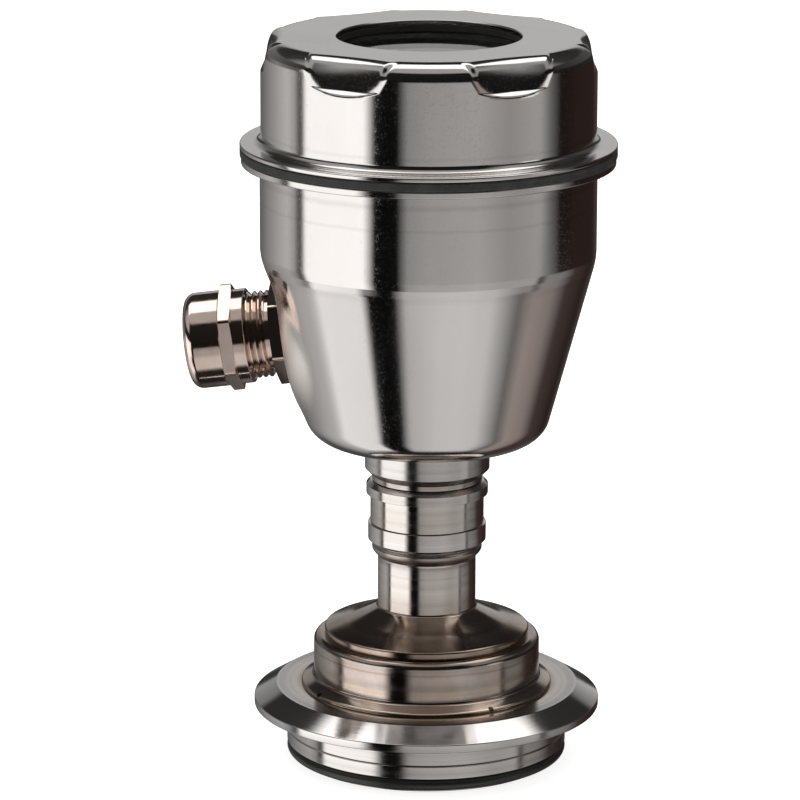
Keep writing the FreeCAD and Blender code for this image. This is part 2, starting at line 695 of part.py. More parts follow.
def finger_recess(inset):
    """Tool for one finger recess: a rounded face that flares out to the wall at sides and floor."""
    face_x = COVER_D / 2 - RECESS_DEPTH - inset
    core_x = COVER_D / 2 - RECESS_DEPTH - RECESS_ROUND_R
    mouth_x = COVER_D / 2 + RECESS_DEPTH
    flare_w = (mouth_x - face_x) * math.tan(math.radians(RECESS_FLARE_DEG))
    flare_h = (mouth_x - face_x) * math.tan(math.radians(RECESS_FLOOR_DEG))
    half_w = RECESS_FACE_W / 2 + inset
    half_top = half_w + RECESS_TOP_W - RECESS_FACE_W
    low = COVER_TOP_Z - RECESS_FACE_H - inset
    high = COVER_TOP_Z + RECESS_FACE_H
    outlines = [recess_outline(distance, half_w, half_top, low, high, RECESS_CORNER_R)
                for distance in (core_x, face_x)]
    outlines.append(recess_outline(mouth_x, half_w + flare_w, half_top + flare_w, low - flare_h, high,
                                   RECESS_CORNER_R + flare_w))
    length = 4 * half_top
    core_foot = FreeCAD.Vector(core_x, -length / 2, COVER_TOP_Z - RECESS_DROP)
    core = Part.makeCylinder(RECESS_ROUND_R - inset, length, core_foot, FreeCAD.Vector(0, 1, 0))
    return Part.makeLoft(outlines, True, True).cut(core)


def cover():
    """Pressed cover: six finger recesses break the shoulder, and a window opens the top."""
    outside = cover_form(0)
    inside = cover_form(COVER_SHEET)
    for tool in around(finger_recess(0), RECESS_COUNT, RECESS_CLOCK_DEG):
        outside = outside.cut(tool)
    for tool in around(finger_recess(COVER_SHEET), RECESS_COUNT, RECESS_CLOCK_DEG):
        inside = inside.cut(tool)
    wall_r = COVER_D / 2 - RECESS_EDGE_R / 2
    edges = sharp_edges(outside, lambda point: point.z > COVER_Z and math.hypot(point.x, point.y) > wall_r)
    outside = outside.makeFillet(RECESS_EDGE_R, edges)
    outside = outside.fuse(cover_rim())
    shell = outside.cut(inside)
    return shell.cut(rod(WINDOW_D, COVER_TOP_Z - 2 * COVER_SHEET, COVER_TOP_Z)).removeSplitter()


def window_seal():
    top = COVER_TOP_Z - COVER_SHEET
    return ring(GLASS_D, WINDOW_D, top - WINDOW_SEAL_H, top)


def window_glass():
    top = COVER_TOP_Z - COVER_SHEET - WINDOW_SEAL_H
    return rod(GLASS_D, top - GLASS_H, top)


def window_ring():
    """Ring under the cover's top that clamps the glass against its seal."""
    top = COVER_TOP_Z - COVER_SHEET
    glass_low = top - WINDOW_SEAL_H - GLASS_H
    glass_r = GLASS_D / 2 + SEAT_GAP
    return turned([(WINDOW_RING_BORE_D / 2, glass_low - WINDOW_RING_LIP_H),
                   (WINDOW_RING_D / 2, glass_low - WINDOW_RING_LIP_H), (WINDOW_RING_D / 2, top),
                   (glass_r, top), (glass_r, glass_low), (WINDOW_RING_BORE_D / 2, glass_low)])


def gland_bush():
    bore_d = GLAND_THREAD_D
    return on_gland_axis(ring(BUSH_D, bore_d, GLAND_SHANK_A, -HOUSING_SHEET))


def gland_seal():
    """Flat seal in the underside of the gland's hexagon."""
    inner_d = GLAND_THREAD_D
    return on_gland_axis(ring(inner_d + 2 * GLAND_SEAL_W, inner_d, 0, GLAND_SEAL_H))


def gland_body():
    """Gland body: shank in the bush, hexagon, relief, thread for the nut and the cage pocket."""
    shank_r = GLAND_THREAD_D / 2 - RUNNING_GAP
    thread_r = CAP_THREAD_D / 2
    relief_r = GLAND_RELIEF_D / 2
    bore_r = GLAND_BORE_D / 2
    pocket_r = GLAND_POCKET_D / 2
    outline = [(bore_r, GLAND_SHANK_A), (shank_r, GLAND_SHANK_A), (shank_r, RELIEF_A), (relief_r, RELIEF_A),
               (relief_r, THREAD_A), (thread_r, THREAD_A), (thread_r, THREAD_END_A),
               (pocket_r, THREAD_END_A), (pocket_r, GLAND_POCKET_FLOOR), (bore_r, GLAND_POCKET_FLOOR)]
    seal_pocket = ring(GLAND_THREAD_D + 2 * GLAND_SEAL_W + 2 * SEAT_GAP, 2 * shank_r, 0, GLAND_SEAL_H)
    nut = hexagon(GLAND_HEX, 0, GLAND_HEX_H, GLAND_HEX_CLOCK_DEG).cut(rod(2 * relief_r, 0, GLAND_HEX_H))
    return on_gland_axis(turned(outline).fuse(nut).removeSplitter().cut(seal_pocket))


def gland_nut():
    """Dome nut: sleeve, hexagon and rounded dome over the cage."""
    bore_r = CAP_THREAD_D / 2 + SLIDE_GAP
    mouth_r = DOME_MOUTH_D / 2
    sleeve_r = NUT_SLEEVE_D / 2
    dome_r = DOME_D / 2
    outside = turned([(0, NUT_A), (sleeve_r, NUT_A), (sleeve_r, NUT_HEX_A), (dome_r, NUT_HEX_A),
                      (dome_r, DOME_END_A, DOME_ROUND), (0, DOME_END_A)])
    outside = outside.fuse(hexagon(NUT_HEX, NUT_HEX_A, DOME_A, NUT_CLOCK_DEG)).removeSplitter()
    inside = turned([(0, NUT_A), (bore_r, NUT_A), (bore_r, NUT_A + NUT_BORE_H),
                     (mouth_r, DOME_END_A - DOME_END_H), (mouth_r, DOME_END_A), (0, DOME_END_A)])
    return on_gland_axis(outside.cut(inside))


def gland_claw():
    """Slotted cage round the grommet."""
    outer_d = GLAND_POCKET_D - 2 * SLIDE_GAP
    cage = ring(outer_d, outer_d - 2 * CLAW_WALL, CLAW_RISE, CLAW_RISE + CLAW_H)
    slot = Part.makeBox(outer_d, CLAW_SLOT_W, CLAW_SLOT_H,
                        FreeCAD.Vector(0, -CLAW_SLOT_W / 2, CLAW_RISE + CLAW_H - CLAW_SLOT_H))
    for tool in around(slot, CLAW_SLOTS, 0):
        cage = cage.cut(tool)
    return on_gland_axis(cage)


def gland_grommet():
    outer_d = GLAND_POCKET_D - 2 * SLIDE_GAP - 2 * CLAW_WALL - 2 * RUNNING_GAP
    return on_gland_axis(ring(outer_d, GROMMET_BORE_D, GROMMET_RISE, GROMMET_RISE + GROMMET_H))


def pieces():
    """Every piece of the transmitter by its node name."""
    made = {
        "process_flange": process_flange(), "process_oring": process_oring(),
        "cell_seal": cell_seal(), "measuring_cell": measuring_cell(),
        "cell_clamp_ring": cell_clamp_ring(), "cell_board": cell_board(),
        "sensor_lead": sensor_lead(), "sensor_body": sensor_body(), "sensor_neck": sensor_neck(),
        "neck_sleeve": neck_sleeve(), "swivel_ring": swivel_ring(),
        "housing_socket": housing_socket(), "swivel_oring": swivel_oring(),
        "housing_shell": housing_shell(), "thread_ring": thread_ring(),
        "gland_bush": gland_bush(), "gland_seal": gland_seal(), "gland_body": gland_body(),
        "electronics_module": electronics_module(), "electronics_screws": electronics_screws(),
        "terminal_block": terminal_block(), "terminal_screws": terminal_screws(),
        "display_module": display_module(), "display_panel": display_panel(),
        "cover_gasket": cover_gasket(), "cover": cover(), "window_seal": window_seal(),
        "window_glass": window_glass(), "window_ring": window_ring(),
        "gland_claw": gland_claw(), "gland_grommet": gland_grommet(), "gland_nut": gland_nut(),
    }
    for index in range(KEY_COUNT):
        made["display_key_" + str(index + 1)] = display_key(index)
    return made


os.makedirs("parts", exist_ok=True)
for node, shape in pieces().items():
    shape.exportStep("parts/" + node + ".step")
    print(node, "valid" if shape.isValid() else "INVALID", len(shape.Solids), round(shape.Volume, 1))
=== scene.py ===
"""Dresses the hygienic pressure transmitter: turned and pressed meshes, finishes, stage and camera."""
import json
import math

import bmesh
import bpy
from bpy.props import FloatProperty, FloatVectorProperty, PointerProperty
from mathutils import Matrix, Vector


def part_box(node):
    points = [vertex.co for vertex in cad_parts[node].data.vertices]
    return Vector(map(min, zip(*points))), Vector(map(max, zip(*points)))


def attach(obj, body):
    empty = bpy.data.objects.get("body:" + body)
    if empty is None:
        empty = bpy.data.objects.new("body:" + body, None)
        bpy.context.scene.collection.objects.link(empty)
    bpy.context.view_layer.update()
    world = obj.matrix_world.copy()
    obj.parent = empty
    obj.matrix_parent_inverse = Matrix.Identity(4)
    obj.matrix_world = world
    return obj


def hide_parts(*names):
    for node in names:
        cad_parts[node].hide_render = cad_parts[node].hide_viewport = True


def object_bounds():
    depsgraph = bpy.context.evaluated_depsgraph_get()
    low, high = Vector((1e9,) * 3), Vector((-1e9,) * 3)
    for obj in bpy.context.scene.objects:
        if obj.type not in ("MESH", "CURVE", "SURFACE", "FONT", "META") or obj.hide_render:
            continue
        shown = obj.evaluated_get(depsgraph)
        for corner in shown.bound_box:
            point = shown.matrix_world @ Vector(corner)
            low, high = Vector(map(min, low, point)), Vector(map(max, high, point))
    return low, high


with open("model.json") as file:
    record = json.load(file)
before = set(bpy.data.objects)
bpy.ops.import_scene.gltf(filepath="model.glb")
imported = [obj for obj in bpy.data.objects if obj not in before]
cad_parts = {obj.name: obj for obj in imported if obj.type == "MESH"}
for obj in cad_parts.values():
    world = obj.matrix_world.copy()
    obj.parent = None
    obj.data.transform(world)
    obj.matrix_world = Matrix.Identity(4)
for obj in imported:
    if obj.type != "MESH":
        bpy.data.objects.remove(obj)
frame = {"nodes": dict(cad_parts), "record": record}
CAD_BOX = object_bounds()

bl_info = {
    "name": "Pressure transmitter",
    "version": (1, 0, 0),
    "blender": (4, 5, 0),
    "location": "3D View > Sidebar > Transmitter",
    "description": "Fine meshes and finishes of a hygienic pressure transmitter",
    "category": "Object",
}

MM = 0.001
FULL_TURN = 2 * math.pi
TURN_STEPS = 256
RING_TOLERANCE = 2e-6
MERGE_DISTANCE = 1e-7
SHARP_ANGLE = math.radians(32)
ROUND_STEP = math.radians(9)
CLOSE_FIT = 0.05 * MM
LOOSE_FIT = 0.1 * MM
RECORD = frame["record"]
BODY_OF = {node: body for body, nodes in RECORD["behaviour"]["bodies"].items() for node in nodes}


def extent(node):
    """Radius, lowest and highest height of a node that is round about Z."""
    low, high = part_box(node)
    return (high.y - low.y) / 2, low.z, high.z


FLANGE_R, FOOT_Z, FLANGE_Z = extent("process_flange")
SPIGOT_R, ORING_LOW, ORING_HIGH = extent("process_oring")
WELD_FOOT_R, REGISTER_Z, BODY_TOP_Z = extent("sensor_body")
NECK_RIM_R, NECK_PLUG_Z, NECK_TOP_Z = extent("sensor_neck")
UPPER_RING_R, SLEEVE_Z, SLEEVE_TOP_Z = extent("neck_sleeve")
COLLAR_R, SOCKET_END_Z, NIPPLE_Z = extent("housing_socket")
SHELL_RIM_R, SHELL_Z, MOUTH_Z = extent("housing_shell")
GASKET_R, GASKET_LOW, GASKET_HIGH = extent("cover_gasket")
COVER_RIM_R, COVER_Z, COVER_TOP_Z = extent("cover")
GLASS_R, GLASS_LOW, GLASS_HIGH = extent("window_glass")
RING_R, RING_LOW, RING_HIGH = extent("window_ring")


def size(name, description, millimetres):
    """A length property whose default is given in millimetres."""
    return FloatProperty(name=name, description=description, default=millimetres * MM, precision=5,
                         subtype="DISTANCE", unit="LENGTH")


def turn(name, description, degrees):
    """An angle property whose default is given in degrees."""
    return FloatProperty(name=name, description=description, default=math.radians(degrees),
                         subtype="ANGLE", unit="ROTATION")


def colour(name, description, value):
    return FloatVectorProperty(name=name, description=description, default=value, size=3, min=0.0,
                               max=1.0, subtype="COLOR")


class FootSizes(bpy.types.PropertyGroup):
    """The clamp flange with its spigot"""
    rim_h: size("Rim height", "Upright edge of the flange under its bevel", 2.0)
    top_r: size("Top radius", "Radius where the bevel meets the flat top", 36.6)
    spigot_h: size("Spigot height", "Turned spigot from the seat down to the seal groove", 9.2)
    line_drop: size("Line drop", "Turned line below the seat", 5.9)
    line_w: size("Line width", "Width of the turned line", 0.5)
    lip_r: size("Lip radius", "Lip under the seal ring", 31.7)
    lip_h: size("Lip height", "Height of the lip under the seal ring", 0.6)
    window_r: size("Cell window", "Opening for the front of the measuring cell", 13.4)
    pocket_r: size("Cell pocket", "Bore that holds the measuring cell", 16.05)
    register_r: size("Register", "Bore that centres the sensor body", 20.05)
    cell_lip_h: size("Cell lip", "Lip that the cell's seal rests on", 1.2)
    edge: size("Edge break", "Small round on the turned edges", 0.3)


class SensorSizes(bpy.types.PropertyGroup):
    """The sensor body and the neck on it"""
    body_r: size("Body radius", "Turned tube of the sensor body", 27.45)
    weld_h: size("Weld height", "Height of the weld foot on the flange", 2.2)
    weld_round: size("Weld round", "Soft crown of the weld foot", 0.9)
    shoulder_round: size("Shoulder round", "Weld shoulder at the top of the body", 1.8)
    bore_r: size("Bore radius", "Bore that takes the neck's plug", 23.0)
    rim_z: size("Rim top", "Height of the neck's rim above the body", 1.8)
    cone_h: size("Cone height", "Rise of the hollow-ground cone", 5.1)
    cone_dip: size("Cone dip", "How far the cone hangs below a straight line", 0.5)
    neck_r: size("Neck radius", "Plain tube of the neck", 11.9)
    neck_bore_r: size("Neck bore", "Bore of the neck", 8.0)
    plug_wall: size("Plug wall", "Wall of the neck's plug in the body", 3.0)
    spigot_r: size("Spigot radius", "Spigot that centres the sleeve", 9.5)
    spigot_h: size("Spigot height", "Height of the spigot above the tube", 2.0)


class SwivelSizes(bpy.types.PropertyGroup):
    """The swivel's sleeve and socket"""
    bead_r: size("Bead radius", "Weld bead under the sleeve", 13.35)
    bead_h: size("Bead height", "Weld bead from the tube to the lower ring", 4.1)
    lower_r: size("Lower ring", "Radius of the lower ring", 14.3)
    lower_h: size("Lower ring height", "Height of the lower ring", 4.7)
    band_r: size("Band radius", "Wide band between the rings", 13.75)
    upper_h: size("Upper ring height", "Height of the upper ring", 3.3)
    chamfer: size("Chamfer", "Chamfer on the rings", 1.0)
    bore_r: size("Bore radius", "Running bore of the swivel", 10.85)
    floor_h: size("Floor height", "Floor under the running bore", 5.0)
    lead_r: size("Lead bore", "Bore for the sensor lead", 7.0)
    socket_neck_r: size("Socket neck", "Short neck between sleeve and collar", 13.35)
    socket_neck_h: size("Socket neck height", "Height of that neck", 1.2)
    socket_gap: size("Socket gap", "Joint line between sleeve and socket", 0.1)
    nipple_r: size("Nipple radius", "Nipple welded into the housing", 12.0)
    edge: size("Edge break", "Small round on the turned edges", 0.14)


class HousingSizes(bpy.types.PropertyGroup):
    """The drawn housing"""
    wall_r: size("Wall radius", "Cylinder of the drawn housing", 40.25)
    base_r: size("Base radius", "Where the cone would meet the flat base", 28.0)
    cone_h: size("Cone height", "Height of the cone", 45.2)
    sheet: size("Sheet", "Thickness of the drawn sheet", 1.7)
    base_round: size("Base round", "Radius between base and cone", 7.0)
    waist_round: size("Waist round", "Radius between cone and cylinder", 14.0)
    rim_round: size("Rim round", "Radius under the rim", 1.0)
    seat_r: size("Seat radius", "Flat pressed seat of the gland", 13.2)
    seat_blend: size("Seat blend", "Soft run from the seat into the wall", 9.5)
    hole_r: size("Gland hole", "Hole for the gland's shank", 10.05)


class CoverSizes(bpy.types.PropertyGroup):
    """The pressed cover, its finger recesses and its window"""
    wall_r: size("Wall radius", "Cylinder of the pressed cover", 40.0)
    sheet: size("Sheet", "Thickness of the pressed sheet", 1.2)
    root_round: size("Root round", "Radius between wall and rim", 1.8)
    shoulder_round: size("Shoulder round", "Radius between wall and top", 4.2)
    window_r: size("Window radius", "Opening in the top", 22.0)
    recess_clock: turn("Recess clock", "Angle of the first finger recess", 5.0)
    recess_depth: size("Recess depth", "Depth of the recess behind the wall at its foot", 1.15)
    recess_h: size("Recess height", "Height of the recess under the cover's top", 7.3)
    recess_lean: turn("Recess lean", "How far the recess's face leans back at its foot", 12.0)
    recess_bend: size("Recess bend", "Radius of the face's bend towards the top", 36.0)
    recess_hollow: size("Recess hollow", "Radius of the face's hollow across", 60.0)
    floor_fall: turn("Floor fall", "How far the recess's floor falls to the wall", 40.0)
    floor_bow: size("Floor bow", "Radius of the floor's curve across the recess", 70.0)
    floor_round: size("Floor rounding", "Rounding where the floor meets the wall", 0.25)
    edge_round: size("Edge round", "How soft the recess's sides run into the wall", 0.7)
    face_round: size("Face round", "Radius between the recess's face and the top", 1.9)
    seal_r: size("Seal bore", "Bore of the window's seal", 22.0)


class GlandSizes(bpy.types.PropertyGroup):
    """The cable gland, measured along its axis from the seat"""
    seat_x: size("Seat place", "Distance of the gland's seat from the axis", 33.7)
    seat_z: size("Seat height", "Height of the gland's seat", 91.9)
    tilt: turn("Tilt", "Downward tilt of the gland", 7.5)
    hex_flats: size("Across flats", "Width of the body's hexagon", 22.0)
    hex_h: size("Hexagon height", "Height of the body's hexagon", 3.2)
    hex_clock: turn("Hexagon clock", "How far the body's hexagon is turned", 12.0)
    shank_r: size("Shank radius", "Shank in the housing's bush", 9.95)
    relief_r: size("Relief radius", "Turned relief behind the hexagon", 9.2)
    relief_h: size("Relief height", "Length of that relief", 1.3)
    thread_r: size("Thread radius", "Crest of the nut's thread", 10.5)
    thread_depth: size("Thread depth", "Depth of the thread", 0.8)
    pitch: size("Pitch", "Pitch of the thread", 1.5)
    thread_end: size("Thread end", "End of the body's thread from the seat", 14.7)
    bore_r: size("Bore radius", "Cable bore of the body", 6.0)
    pocket_r: size("Pocket radius", "Pocket for the clamping cage", 8.0)
    pocket_floor: size("Pocket floor", "Floor of that pocket from the seat", 3.0)
    nut_low: size("Nut place", "Open end of the nut from the seat", 9.2)
    sleeve_r: size("Sleeve radius", "Sleeve of the nut", 11.45)
    sleeve_h: size("Sleeve height", "Length of that sleeve", 2.9)
    nut_flats: size("Nut across flats", "Width of the nut's hexagon", 23.0)
    nut_hex_h: size("Nut hexagon", "Height of the nut's hexagon", 3.1)
    nut_clock: turn("Nut clock", "How far the nut is turned", 0.0)
    dome_r: size("Dome radius", "Dome of the nut", 11.6)
    dome_h: size("Dome height", "Length of the dome", 9.0)
    dome_round: size("Dome round", "Round end of the dome", 2.6)
    mouth_r: size("Mouth radius", "Cable mouth of the dome", 6.5)
    end_wall: size("End wall", "Wall of the dome at its mouth", 2.2)
    nut_bore_h: size("Nut bore", "Depth of the nut's bore", 10.0)
    slide_gap: size("Slide gap", "Clearance between nut and thread", 0.1)


class FinishColours(bpy.types.PropertyGroup):
    """The metals, their tints and the rubber"""
    steel: colour("Steel", "Bare stainless steel", (0.62, 0.595, 0.575))
    steel_dark: colour("Worked steel", "Duller streaks of the steel", (0.47, 0.44, 0.42))
    straw: colour("Straw tint", "Light heat tint beside the welds", (0.58, 0.44, 0.30))
    # The brown is also laid fully on the neck's cone, where part of its darkness is painted shade.
    brown: colour("Brown tint", "Dark heat tint on the welds", (0.30, 0.198, 0.135))
    weld_haze: colour("Weld haze", "Pale warm haze round a welded seat", (0.86, 0.77, 0.69))
    nickel: colour("Nickel", "Plated brass of the gland", (0.76, 0.63, 0.56))
    nickel_stain: colour("Nickel stain", "Warm stain in the plating", (0.58, 0.42, 0.33))
    rubber: colour("Rubber", "Seals and gaskets", (0.016, 0.016, 0.015))


class StageSettings(bpy.types.PropertyGroup):
    """The camera, the floor and the lamp"""
    camera_turn: turn("Camera turn", "Camera's angle about the object", 5.0)
    camera_away: size("Camera distance", "Level distance from the object's axis", 1128.0)
    camera_z: size("Camera height", "Height above the flange's seat", 359.0)
    camera_dip: turn("Camera dip", "Downward tilt of the camera", 14.1)
    camera_aside: turn("Camera aside", "Turn that sets the object right of centre", 0.337)
    camera_roll: turn("Camera roll", "Slight roll about the line of sight", 0.177)
    lens: FloatProperty(name="Lens", description="Focal length in millimetres", default=217.26)
    floor_r: size("Floor radius", "Pale floor under the object", 6000.0)
    floor_glow: FloatProperty(name="Floor glow", description="Light that the floor gives off",
                              default=0.85)
    lamp_size: size("Lamp size", "Width of the soft lamp overhead", 1200.0)
    lamp_power: FloatProperty(name="Lamp power", description="Power of that lamp in watts", default=8.0,
                              unit="POWER")


def tone(value):
    """A colour as it is, or the grey that one number stands for."""
    return (value, value, value) if isinstance(value, float) else value


STUDIO_POWER = 2.0
WARM_DARK = (0.03, 0.019, 0.016)
WARM_DIM = (0.07, 0.05, 0.047)
WARM_LIT = (0.42, 0.35, 0.3)
# The studio from its floor to its ceiling: the heights (sines) between which a layer takes over from the
# one below, and its tones by the angle from the camera, with left negative.
STUDIO = (
    (-1.0, -1.0, [
        (-180, 0.02), (180, 0.02)]),
    (-0.95, -0.85, [
        (-180, 0.05), (-150, 0.1), (-130, 0.4), (-105, 0.7), (-92, 1.2), (-55, 1.15), (-48, 0.005),
        (-27, 0.005), (-18, 0.66), (10, 0.84), (30, 0.86), (52, 0.78), (76, 0.18),
        (88, (0.42, 0.36, 0.34)), (106, (0.34, 0.28, 0.26)), (122, WARM_DIM), (150, WARM_DIM),
        (180, 0.2)]),
    (-0.6, -0.38, [
        (-180, 0.1), (-155, 0.18), (-130, 0.4), (-112, 0.55), (-104, 0.4), (-99, 0.08), (-96, 0.08),
        (-92, 1.6), (-45, 1.6), (-37, 0.005), (-21, 0.005), (-14, 0.46), (0, 0.56), (34, 0.62),
        (56, 0.5), (80, 0.52), (83, 0.08), (86, 0.08), (90, 0.34), (106, 0.28), (122, WARM_DIM),
        (150, WARM_DARK), (180, 0.1)]),
    (-0.25, -0.23, [
        (-180, 0.1), (-155, 0.18), (-130, 0.45), (-112, 0.7), (-104, 0.5), (-99, 0.1), (-96, 0.1),
        (-92, 1.6), (-45, 1.6), (-37, 0.005), (-21, 0.005), (-14, 0.38), (0, 0.47), (34, 0.54),
        (56, 0.4), (72, 0.44), (82, 0.5), (91, 0.2), (101, (0.012, 0.005, 0.004)), (120, WARM_DARK),
        (150, WARM_DARK), (180, 0.1)]),
    (-0.17, -0.1, [
        (-180, 0.04), (-150, 0.04), (-125, 0.3), (-97, 0.1), (-92, 1.5), (-40, 1.5), (-34, 0.01),
        (40, 0.01), (50, WARM_LIT), (63, WARM_LIT), (67, 1.2), (78, 1.2), (82, 0.01), (180, 0.04)]),
    (0.03, 0.09, [
        (-180, 0.57), (-150, 0.2), (-100, 0.06), (-80, 0.015), (80, 0.01), (100, 0.04), (150, 0.1),
        (165, 0.57), (180, 0.57)]),
    (0.33, 0.41, [
        (-180, 0.02), (-125, 0.05), (-95, 0.5), (-58, 0.5), (-42, 0.015), (42, 0.015), (58, 0.42),
        (85, 0.42), (115, 0.05), (180, 0.02)]),
    (0.72, 0.8, [
        (-180, 0.02), (-125, 0.05), (-95, 0.5), (85, 0.5), (115, 0.05), (180, 0.02)]),
)

# The bank light overhead: where each edge is full and where it has faded, as shares of the height.
BANK_TONE = 0.95
BANK_SIDE = (0.68, 0.76)
BANK_FRONT = (0.06, 0.14)
BANK_BACK = (-0.48, -0.66)
LEAST_RISE = 0.05

LAMP_PLACE = (-0.25, -0.2, 1.5)
SENSOR_WIDTH = 36.0
FAR_LIMIT = 100.0


def smooth_step(value):
    """Soft rise from 0 to 1."""
    clipped = min(max(value, 0.0), 1.0)
    return clipped * clipped * (3 - 2 * clipped)


def new_object(name, data):
    """Object at the origin in the scene's collection."""
    made = bpy.data.objects.new(name, data)
    bpy.context.scene.collection.objects.link(made)
    return made


def mesh_from(bm, name):
    """Turns a bmesh into a mesh and frees it."""
    mesh = bpy.data.meshes.new(name)
    bm.to_mesh(mesh)
    bm.free()
    return mesh


def everything(bm):
    """All that a mesh holds, for an operator to work on."""
    return bm.verts[:] + bm.edges[:] + bm.faces[:]


def closed_section(bm, corners):
    """Draws a closed section through (radius, height) corners; each side ends at its own corner."""
    verts = [bm.verts.new((corner[0], 0.0, corner[1])) for corner in corners]
    return [bm.edges.new((verts[index - 1], verts[index])) for index in range(len(verts))]


def spin(bm, geom, angle, steps, rise=0.0, closed=False, copies=False):
    """Sweeps an outline about Z, or repeats a mesh there, with a rise at each step."""
    bmesh.ops.spin(bm, geom=geom, cent=(0, 0, 0), axis=(0, 0, 1), dvec=(0, 0, rise), angle=angle,
                   steps=steps, use_merge=closed, use_duplicate=copies)


def on_ring(vert, radius, height):
    """Tells whether a vertex lies on a turned edge."""
    away = abs(math.hypot(vert.co.x, vert.co.y) - radius)
    return away < RING_TOLERANCE and abs(vert.co.z - height) < RING_TOLERANCE


def round_ring(bm, before, corner, after):
    """Rounds the turned edge at a corner of the outline by the corner's own radius."""
    radius, height, fillet = corner
    point = Vector((radius, height))
    back = Vector(before[:2]) - point
    ahead = Vector(after[:2]) - point
    opening = back.angle(ahead)
    edges = [edge for edge in bm.edges if all(on_ring(vert, radius, height) for vert in edge.verts)]
    segments = max(2, math.ceil((math.pi - opening) / ROUND_STEP))
    bmesh.ops.bevel(bm, geom=edges, offset=fillet / math.tan(opening / 2), offset_type="OFFSET",
                    segments=segments, profile=0.5, affect="EDGES", material=-1)


def lathe(outline, steps=TURN_STEPS):
    """Closed turned mesh about Z from (radius, height) or (radius, height, round) corners."""
    bm = bmesh.new()
    closed_section(bm, outline)
    spin(bm, everything(bm), FULL_TURN, steps, closed=True)
    bmesh.ops.remove_doubles(bm, verts=bm.verts, dist=MERGE_DISTANCE)
    bmesh.ops.recalc_face_normals(bm, faces=bm.faces)
    for index, corner in enumerate(outline):
        if len(corner) == 3:
            round_ring(bm, outline[index - 1], corner, outline[(index + 1) % len(outline)])
    return bm


def add_rings(bm, low, high, count):
    """Cuts level rings into a wall so that it can bend softly."""
    for index in range(count):
        level = low + (high - low) * index / (count - 1)
        bmesh.ops.bisect_plane(bm, geom=everything(bm), dist=MERGE_DISTANCE, plane_co=(0, 0, level),
                               plane_no=(0, 0, 1), clear_inner=False, clear_outer=False)


def merge_in(target, source):
    """Adds one mesh to another and frees it."""
    spare = mesh_from(source, "spare")
    target.from_mesh(spare)
    bpy.data.meshes.remove(spare)


def hexagon(across_flats, low, high, bore_r, clock):
    """Hexagon about Z with turned corner chamfers on both faces."""
    flat_r = across_flats / 2
    corner_r = across_flats / math.sqrt(3)
    corner_break = 0.15 * MM
    chamfer_angle = math.radians(8)
    slope = math.tan(chamfer_angle)
    sixth = FULL_TURN / 6
    bm = lathe([(bore_r, low), (flat_r - corner_break, low), (corner_r, low), (corner_r, high),
                (flat_r - corner_break, high), (bore_r, high)], steps=288)
    for vert in bm.verts:
        if math.hypot(vert.co.x, vert.co.y) < corner_r - RING_TOLERANCE:
            continue
        angle = math.atan2(vert.co.y, vert.co.x)
        off_flat = (angle - clock) % sixth - sixth / 2
        reach = min(flat_r / math.cos(off_flat), corner_r - corner_break)
        drop = (reach - flat_r + corner_break) * slope
        height = low + drop if vert.co.z < (low + high) / 2 else high - drop
        vert.co = (reach * math.cos(angle), reach * math.sin(angle), height)
    return bm


def screw_ridge(root_r, crest_r, pitch, low, high):
    """Solid ridge of a screw thread wound about Z."""
    steps_per_turn = 96
    turns = (high - low) / pitch
    sunk = 0.3 * MM
    half_root = pitch * 0.5
    half_crest = pitch * 0.09
    bm = bmesh.new()
    corners = [(root_r - sunk, -half_root), (root_r, -half_root), (crest_r, -half_crest),
               (crest_r, half_crest), (root_r, half_root), (root_r - sunk, half_root)]
    verts = [bm.verts.new((radius, 0.0, low + height)) for radius, height in corners]
    section = bm.faces.new(verts)
    steps = round(steps_per_turn * turns)
    spin(bm, verts + list(section.edges) + [section], FULL_TURN * turns, steps, rise=(high - low) / steps)
    open_edges = [edge for edge in bm.edges if edge.is_boundary]
    bmesh.ops.holes_fill(bm, edges=open_edges, sides=0)
    return bm


def gland_seat(sizes):
    """Middle of the gland's seat."""
    return (-sizes.seat_x, 0.0, sizes.seat_z)


def gland_lay(sizes):
    """Turn about Y that takes +Z outwards along the gland."""
    return -(math.pi / 2 + sizes.tilt)


def gland_matrix(sizes):
    """Takes a shape made outwards along +Z from the seat on to the gland's axis."""
    return Matrix.Translation(gland_seat(sizes)) @ Matrix.Rotation(gland_lay(sizes), 4, "Y")


def dress(bm, node, material):
    """Makes the finished mesh the object that stands for its CAD node."""
    bmesh.ops.recalc_face_normals(bm, faces=bm.faces)
    for edge in bm.edges:
        edge.smooth = edge.calc_face_angle(0.0) < SHARP_ANGLE
    for face in bm.faces:
        face.smooth = True
    mesh = mesh_from(bm, "fine_" + node)
    mesh.materials.append(material)
    piece = new_object("fine_" + node, mesh)
    normals = piece.modifiers.new("face_normals", "WEIGHTED_NORMAL")
    normals.keep_sharp = True
    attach(piece, BODY_OF[node])
    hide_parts(node)


def node_in(tree, kind, values=None, **settings):
    """Adds a shader node, sets its options and fills or links its inputs."""
    made = tree.nodes.new(kind)
    for key, value in settings.items():
        setattr(made, key, value)
    for key, value in (values or {}).items():
        if isinstance(value, bpy.types.NodeSocket):
            tree.links.new(value, made.inputs[key])
        else:
            made.inputs[key].default_value = value
    return made


def math_in(tree, operation, first, second=0.0):
    return node_in(tree, "ShaderNodeMath", {0: first, 1: second}, operation=operation).outputs[0]


def noise_in(tree, vector, scale, detail, roughness=0.5):
    """Soft noise between 0 and 1."""
    values = {"Vector": vector, "Scale": scale, "Detail": detail, "Roughness": roughness}
    return node_in(tree, "ShaderNodeTexNoise", values).outputs["Fac"]


